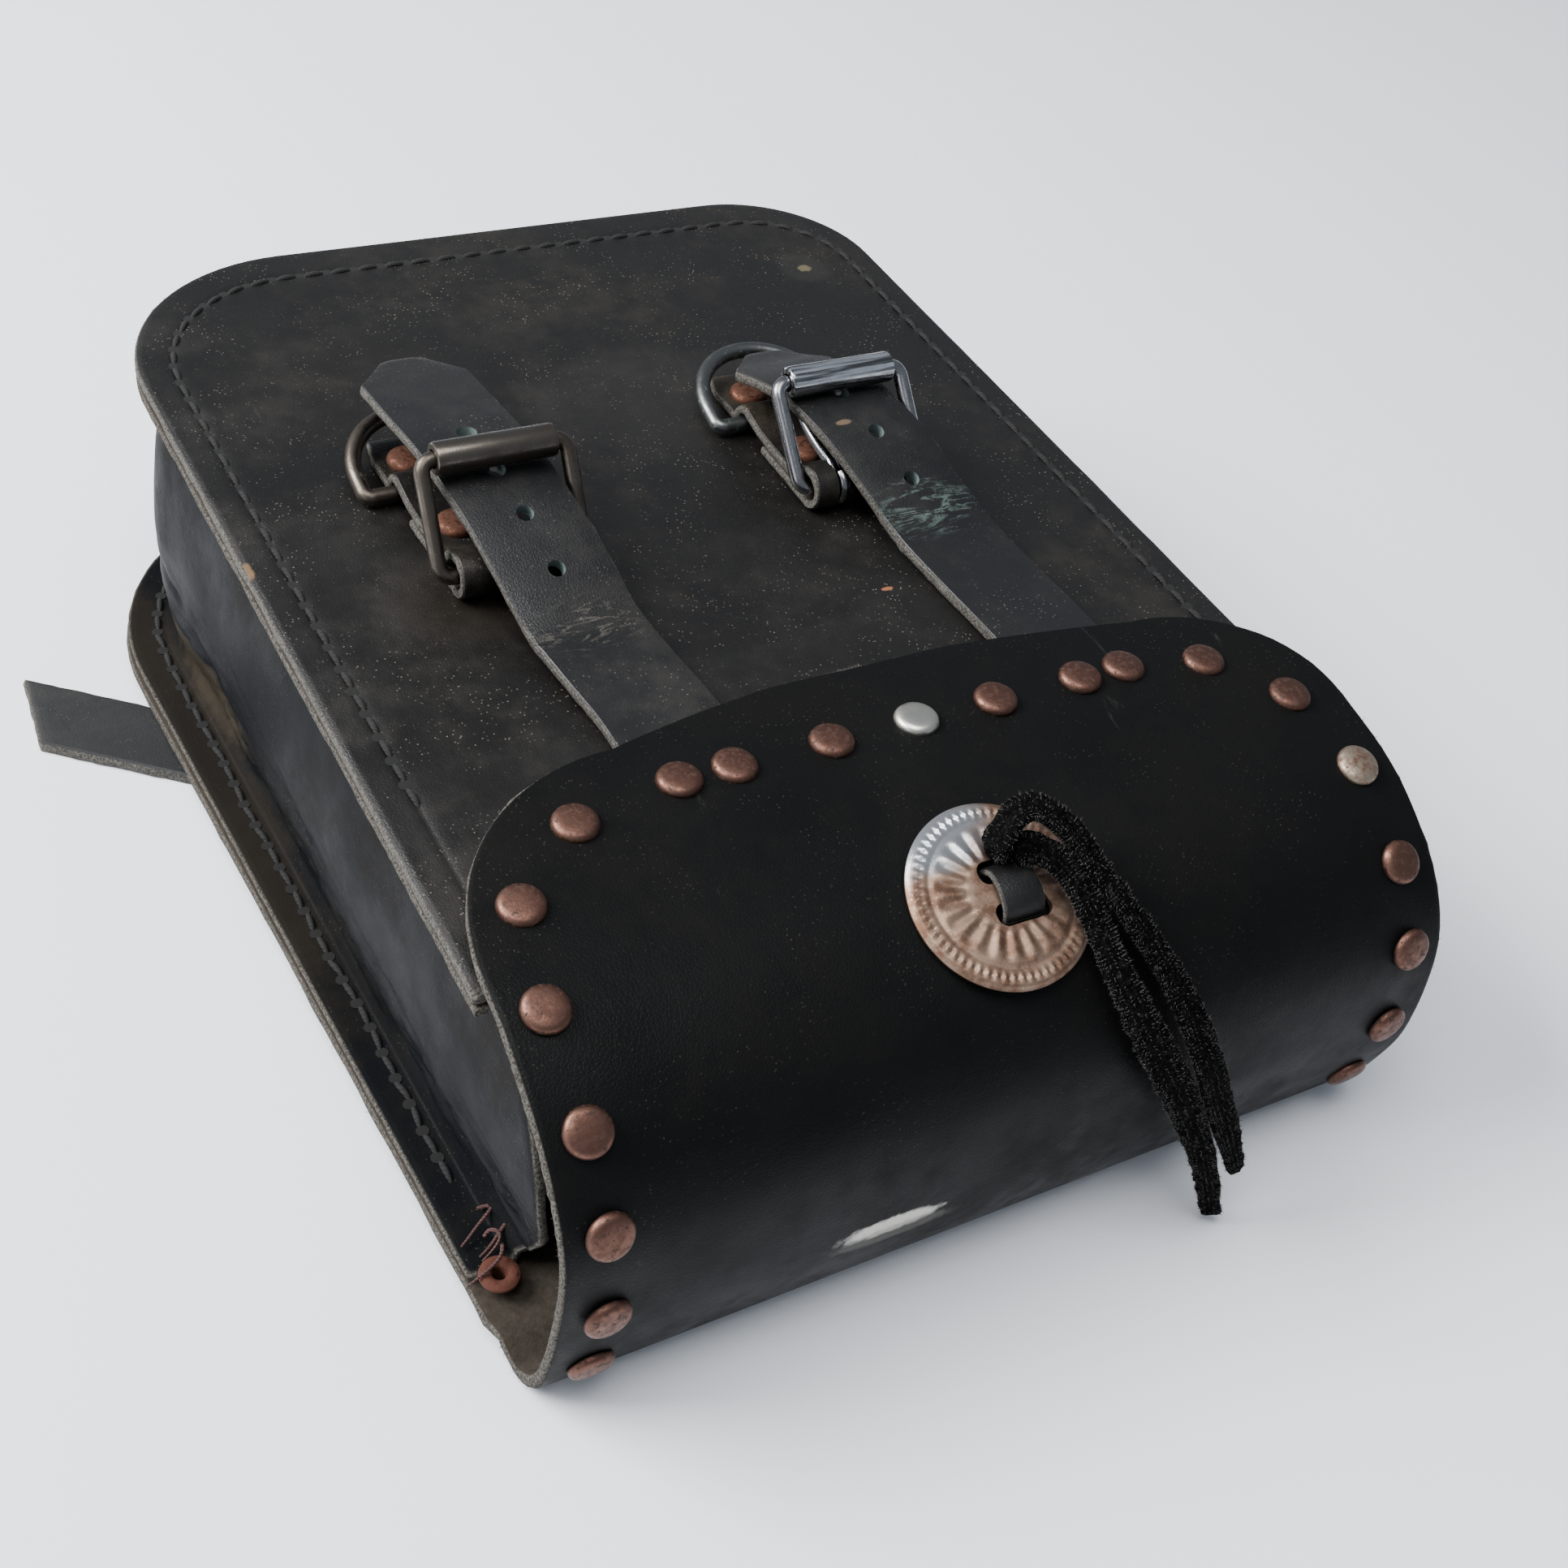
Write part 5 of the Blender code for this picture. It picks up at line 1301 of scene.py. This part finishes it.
def build_buckle(side, frame_look, roller_look, prong_look):
    spec = SIDES[side]
    heel = np.array([spec["frame_x"], spec["heel_y"] + SHIFT, HEEL_Z])
    tilt = spec["frame_tilt"]
    w = FRAME_HALF
    loop = rounded_loop([(-w, 0, 0), (w, 0, 0), (w, FRAME_LENGTH, 0), (-w, FRAME_LENGTH, 0)], 2.8)
    loop = turned_about_x(densify(loop, 0.9), tilt, heel)
    frame_item = sweep("buckle_wire_" + side, loop, WIRE, 18, True)
    dress(frame_item, frame_look, "buckle_" + side, slot_of(side), "buckle_frame_" + side)

    bar = turned_about_x([(0, FRAME_LENGTH, 0)], tilt, heel)[0]
    half = 13.6
    profile = [(2.1, -half), (3.1, -half), (3.45, -half + 0.25), (3.6, -half + 0.8), (3.6, half - 0.8),
               (3.45, half - 0.25), (3.1, half), (2.1, half), (2.1, -half)]
    roller = lathe("buckle_tube_" + side, profile, bar, (1, 0, 0), 40, 4, 0.0)
    dress(roller, roller_look, "roller_" + side, slot_of(side), "buckle_roller_" + side)

    ring = WIRE + PRONG_WIRE + 0.3
    leave = math.radians(40)
    points = []
    for k in range(31):
        a = math.radians(28 - 300 * k / 30)
        points.append((0, ring * math.cos(a), ring * math.sin(a)))
    points = points[::-1]
    points[-1] = (0, ring * math.cos(leave), ring * math.sin(leave))
    reach = 20.5 - ring
    for k in range(1, 15):
        share = k / 14
        points.append((0, ring * math.cos(leave) + reach * share, ring * math.sin(leave) * (1 - share) ** 2))
    points = turned_about_x(points, spec["prong_tilt"], (spec["prong_x"], heel[1], heel[2]))
    radius = [PRONG_WIRE] * (len(points) - 5) + [1.46, 1.38, 1.28, 1.15, 0.95]
    prong = sweep("prong_wire_" + side, points, radius, 16, up=(1, 0, 0))
    dress(prong, prong_look, "prong_" + side, slot_of(side), "buckle_prong_" + side)


def slot_of(side):
    return "dark_steel" if side == "left" else "bright_steel"


def build_ring(side, look):
    spec = SIDES[side]
    r = RING_RADIUS
    path = [(-r + 1.2, 0, 0), (0, 0, 0), (r - 1.2, 0, 0), (r - 0.35, 0.35, 0), (r, 1.2, 0), (r, 5, 0)]
    for k in range(1, 36):
        a = math.radians(5 * k)
        path.append((r * math.cos(a), 6 + r * math.sin(a), 0))
    path += [(-r, 5, 0), (-r, 1.2, 0), (-r + 0.35, 0.35, 0)]
    centre = (spec["ring_x"], spec["heel_y"] + RING_Y + spec["tab_shift"] + SHIFT,
              FRONT_TOP + GAP + RING_WIRE + 0.1)
    path = turned_about_x(densify(np.array(path, float), 1.0), 14.0, centre)
    item = sweep("d_ring_wire_" + side, path, RING_WIRE, 18, True)
    dress(item, look, "ring_" + side, slot_of(side), "d_ring_" + side)


for each in SIDES:
    build_chape(each)
build_buckle("left", bronze, bronze_worn, bronze)
build_buckle("right", chrome, chrome_roller, chrome)
build_ring("left", bronze)
build_ring("right", green_steel)


# ---------------------------------------------------------------- concho and lace loop

def concho_stand():
    y, z, ny, nz = lid_curve.at(lid_curve.find("y", -112.5))
    normal = np.array([0.0, ny, nz])
    side = np.array([1.0, 0.0, 0.0])
    up = np.cross(normal, side)
    seat = np.array([-1.0, y, z]) + normal * (SHELL / 2 + 0.3)
    return seat, np.array([side, up, normal])


SEAT, AXES = concho_stand()


def on_concho(points):
    return np.asarray(points, float) @ AXES + SEAT


def build_concho():
    """Dished disc with plain radial flutes, a groove and a beaded ring inside its rolled-over rim."""
    around = 240
    radii = [0.0, 1.0, 2.5, 4.0, 5.5, 7.0, 7.6, 8.1, 8.6, 9.2, 10.0, 11.0, 12.0, 13.0, 13.8, 14.3, 14.8, 15.3,
             15.8, 16.2, 16.6, 17.0, 17.5, 18.0, 18.4, 18.8, 19.1, CONCHO_RADIUS]
    verts = []
    faces = []
    for layer in (1, 0):
        for r in radii:
            share = r / CONCHO_RADIUS
            dish = 1.3 * (1 - share ** 2)
            for k in range(around):
                a = 2 * math.pi * k / around
                z = dish + (1.1 if layer else 0.0)
                if layer:
                    band = float(smoothstep(7.0, 9.0, r) * (1 - smoothstep(12.8, 14.2, r)))
                    z += 0.26 * math.sin(20 * a) * band
                    z -= 0.28 * math.exp(-((r - 15.0) / 0.5) ** 2)
                    z += 0.24 * math.cos(60 * a) * math.exp(-((r - 17.0) / 0.8) ** 2)
                    z += 0.14 * math.exp(-((r - 6.9) / 0.45) ** 2)
                    z -= 0.75 * float(smoothstep(18.3, CONCHO_RADIUS, r))
                else:
                    z = max(z - 0.05, 0.0)
                verts.append((r * math.cos(a), r * math.sin(a), z))
    n = len(radii)
    for layer in (0, 1):
        base = layer * n * around
        faces += [tuple(base + v for v in quad) for quad in tube_faces(n, around)]
    for k in range(around):
        w = (k + 1) % around
        a, b = (n - 1) * around, (2 * n - 1) * around
        faces.append((a + k, a + w, b + w, b + k))
    item = mesh_object("concho_disc", on_concho(verts), faces, None, 50)
    outward(item, 0.002 * MM)
    cutters = []
    for sign in (-1, 1):
        low_x, high_x = LACE_SLOT_X - 6.2, LACE_SLOT_X + 6.2
        low_y, high_y = sign * 4.4 - 2.35, sign * 4.4 + 2.35
        loop = rounded_loop([(low_x, low_y, 0), (high_x, low_y, 0), (high_x, high_y, 0), (low_x, high_y, 0)],
                            2.0, 6)
        count = len(loop)
        low = loop + np.array([0, 0, -2.0])
        high = loop + np.array([0, 0, 6.0])
        faces = [(k, (k + 1) % count, count + (k + 1) % count, count + k) for k in range(count)]
        faces += [tuple(range(count))[::-1], tuple(range(count, 2 * count))]
        cutter = mesh_object("slot", on_concho(np.concatenate([low, high])), faces)
        outward(cutter)
        cutters.append(cutter)
    item.data.materials.append(concho_look)
    cut(item, cutters, concho_look)
    dress(item, concho_look, "lid", "concho_metal", "concho")


def build_lace_loop():
    bridge = 1.3 + 1.1 + 0.5 + 0.95
    half = [(5.4, 0.4), (4.9, 1.6), (3.9, 3.0), (2.2, bridge), (0.0, bridge + 0.35)]
    knots = [(0.0, -y, z) for y, z in half] + [(0.0, y, z) for y, z in half[-2::-1]]
    line = resample(catmull(knots, 6), 34)
    columns = edge_spaced(9, 0.1)
    grid = np.zeros((len(line), len(columns), 3))
    for i, p in enumerate(line):
        grid[i, :, 0] = LACE_SLOT_X + 4.15 * columns * (1 + 0.05 * math.sin(5 * i / len(line)))
        grid[i, :, 1:] = p[1:]
    grid[:, :, 2] -= 0.35 * columns[None, :] ** 2
    grid = on_concho(grid.reshape(-1, 3)).reshape(grid.shape)
    item = leather_sheet("lace_bridge", grid, 1.7, normals_towards(grid, 17, 5, (0, 0, 1)), 0.05, seed=3)
    dress(item, loop_leather, "lid", "lace_suede", "lace_loop")
    for number, node in enumerate(LACE_TAILS):
        ends = shifted(LACE_TAILS[node])
        foot = on_concho([[LACE_SLOT_X + 1.4 * number, 4.6, -0.4], [2.2 + 0.8 * number, 5.6, 2.2]])
        route = resample(catmull(np.concatenate([foot, ends[:2]]), 8), 26)
        rise = sweep("lace_rise_%d" % (number + 1), route[:22], np.linspace(1.5, 2.0, 22), 14, flat=0.8)
        dress(rise, lace_suede, "lid", "lace_suede")


build_concho()
build_lace_loop()


# ---------------------------------------------------------------- mounting straps, eyelets, torn threads

def build_mounting_straps():
    angle = math.radians(37.5)
    along = np.array([math.cos(angle), math.sin(angle), 0])
    across = np.array([-along[1], along[0], 0])
    tip = np.array([137.5, 78.0, 0])
    slant = MOUNT_HALF * math.tan(angle) * 0.8
    root = tip - along * 150.0
    for side, sign in (("left", -1), ("right", 1)):
        columns = edge_spaced(11, 0.08)
        grid = np.zeros((74, len(columns), 3))
        for i, share in enumerate(np.linspace(0, 1, 74)):
            for j, c in enumerate(columns):
                far = tip + across * MOUNT_HALF * c + along * slant * c
                near = root + across * MOUNT_HALF * c
                grid[i, j] = near + (far - near) * share
        grid[:, :, 0] *= sign
        grid[:, :, 1] += SHIFT
        grid[:, :, 2] = 1.55 - 0.12 * columns[None, :] ** 4
        item = leather_sheet("mounting_belt_" + side, grid, 2.9, facing_up(grid), 0.3, seed=21)
        dress(item, mount_leather, "bag", "strap_leather", "mounting_strap_" + side)
        for number in (1, 2):
            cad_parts["mounting_rivet_%s_%d" % (side, number)].data.materials[0] = red_rust


def build_eyelets():
    top = BACK_UNDER + SHELL + GUSSET + 0.7
    for side, sign in (("left", -1), ("right", 1)):
        point = (sign * 99.0, -113.5 + SHIFT, 0.0)
        profile = [(1.3, 3.95), (2.0, 3.95), (2.0, top), (3.9, top), (4.1, top + 0.35), (4.0, top + 0.8),
                   (3.4, top + 1.2), (2.7, top + 1.3), (2.0, top + 1.2), (1.5, top + 0.8), (1.3, top + 0.2),
                   (1.3, 3.95)]
        item = lathe("eyelet_tube_" + side, profile, point, (0.02, -0.03, 1), 44, 5, 0.0)
        dress(item, red_rust, "bag", "copper_rivet", "tubular_rivet_" + side)


def build_torn_threads():
    base = BACK_UNDER + SHELL + GUSSET + 0.9
    strands = []
    starts = [(-97.0, -98.5, 0.2), (-93.5, -102.0, 0.5), (-99.0, -105.0, -0.4), (-96.0, -108.0, 0.9)]
    for number, (x, y, lean) in enumerate(starts):
        route = []
        for k in range(14):
            t = k / 13
            lift = 2.2 * math.sin(math.pi * t) * (0.4 + 0.2 * number)
            route.append((x + 9 * t * math.cos(lean + 2.2 * t) + 0.8 * math.sin(7 * t + number),
                          y + SHIFT - 7 * t * math.sin(lean + 1.2 * t), base + 0.5 + lift))
        strands.append(sweep("strand", route, [0.42 - 0.2 * (k / 13) ** 3 for k in range(14)], 8))
    dress(join("torn_threads", strands), torn_thread, "bag", "thread")


build_mounting_straps()
build_eyelets()
build_torn_threads()


# ---------------------------------------------------------------- floor and light

def build_stage():
    n = Nodes("pale_floor")
    tone = n.mix(n.noise(260, 3, 0.5), (0.89, 0.91, 0.95), (0.86, 0.88, 0.92))
    floor_look = n.finish(tone, 0.75)
    size = 4000.0
    floor = mesh_object("floor", [(-size, -size, 0), (size, -size, 0), (size, size, 0), (-size, size, 0)],
                        [(0, 1, 2, 3)])
    floor.data.materials.append(floor_look)
    world = bpy.data.worlds.new("studio")
    world.use_nodes = True
    back = world.node_tree.nodes["Background"]
    back.inputs["Color"].default_value = (0.80, 0.88, 1.0, 1.0)
    back.inputs["Strength"].default_value = 0.42
    bpy.context.scene.world = world


def area_light(name, place, aim, size, power, colour=(1, 1, 1)):
    data = bpy.data.lights.new(name, "AREA")
    data.shape = "RECTANGLE"
    data.size, data.size_y = size
    data.energy = power
    data.color = colour
    lamp = link(name, data)
    lamp.location = place
    lamp.rotation_euler = (Vector(aim) - Vector(place)).to_track_quat("-Z", "Y").to_euler()


build_stage()
area_light("softbox_key", (-1.05, 0.55, 1.05), (0.0, 0.0, 0.04), (1.0, 0.8), 62.0)
area_light("softbox_top", (-0.30, -0.25, 1.5), (0.0, 0.0, 0.03), (0.9, 0.9), 20.0)
area_light("softbox_left", (-1.2, -0.45, 0.5), (0.0, 0.0, 0.05), (0.7, 0.6), 2.0)
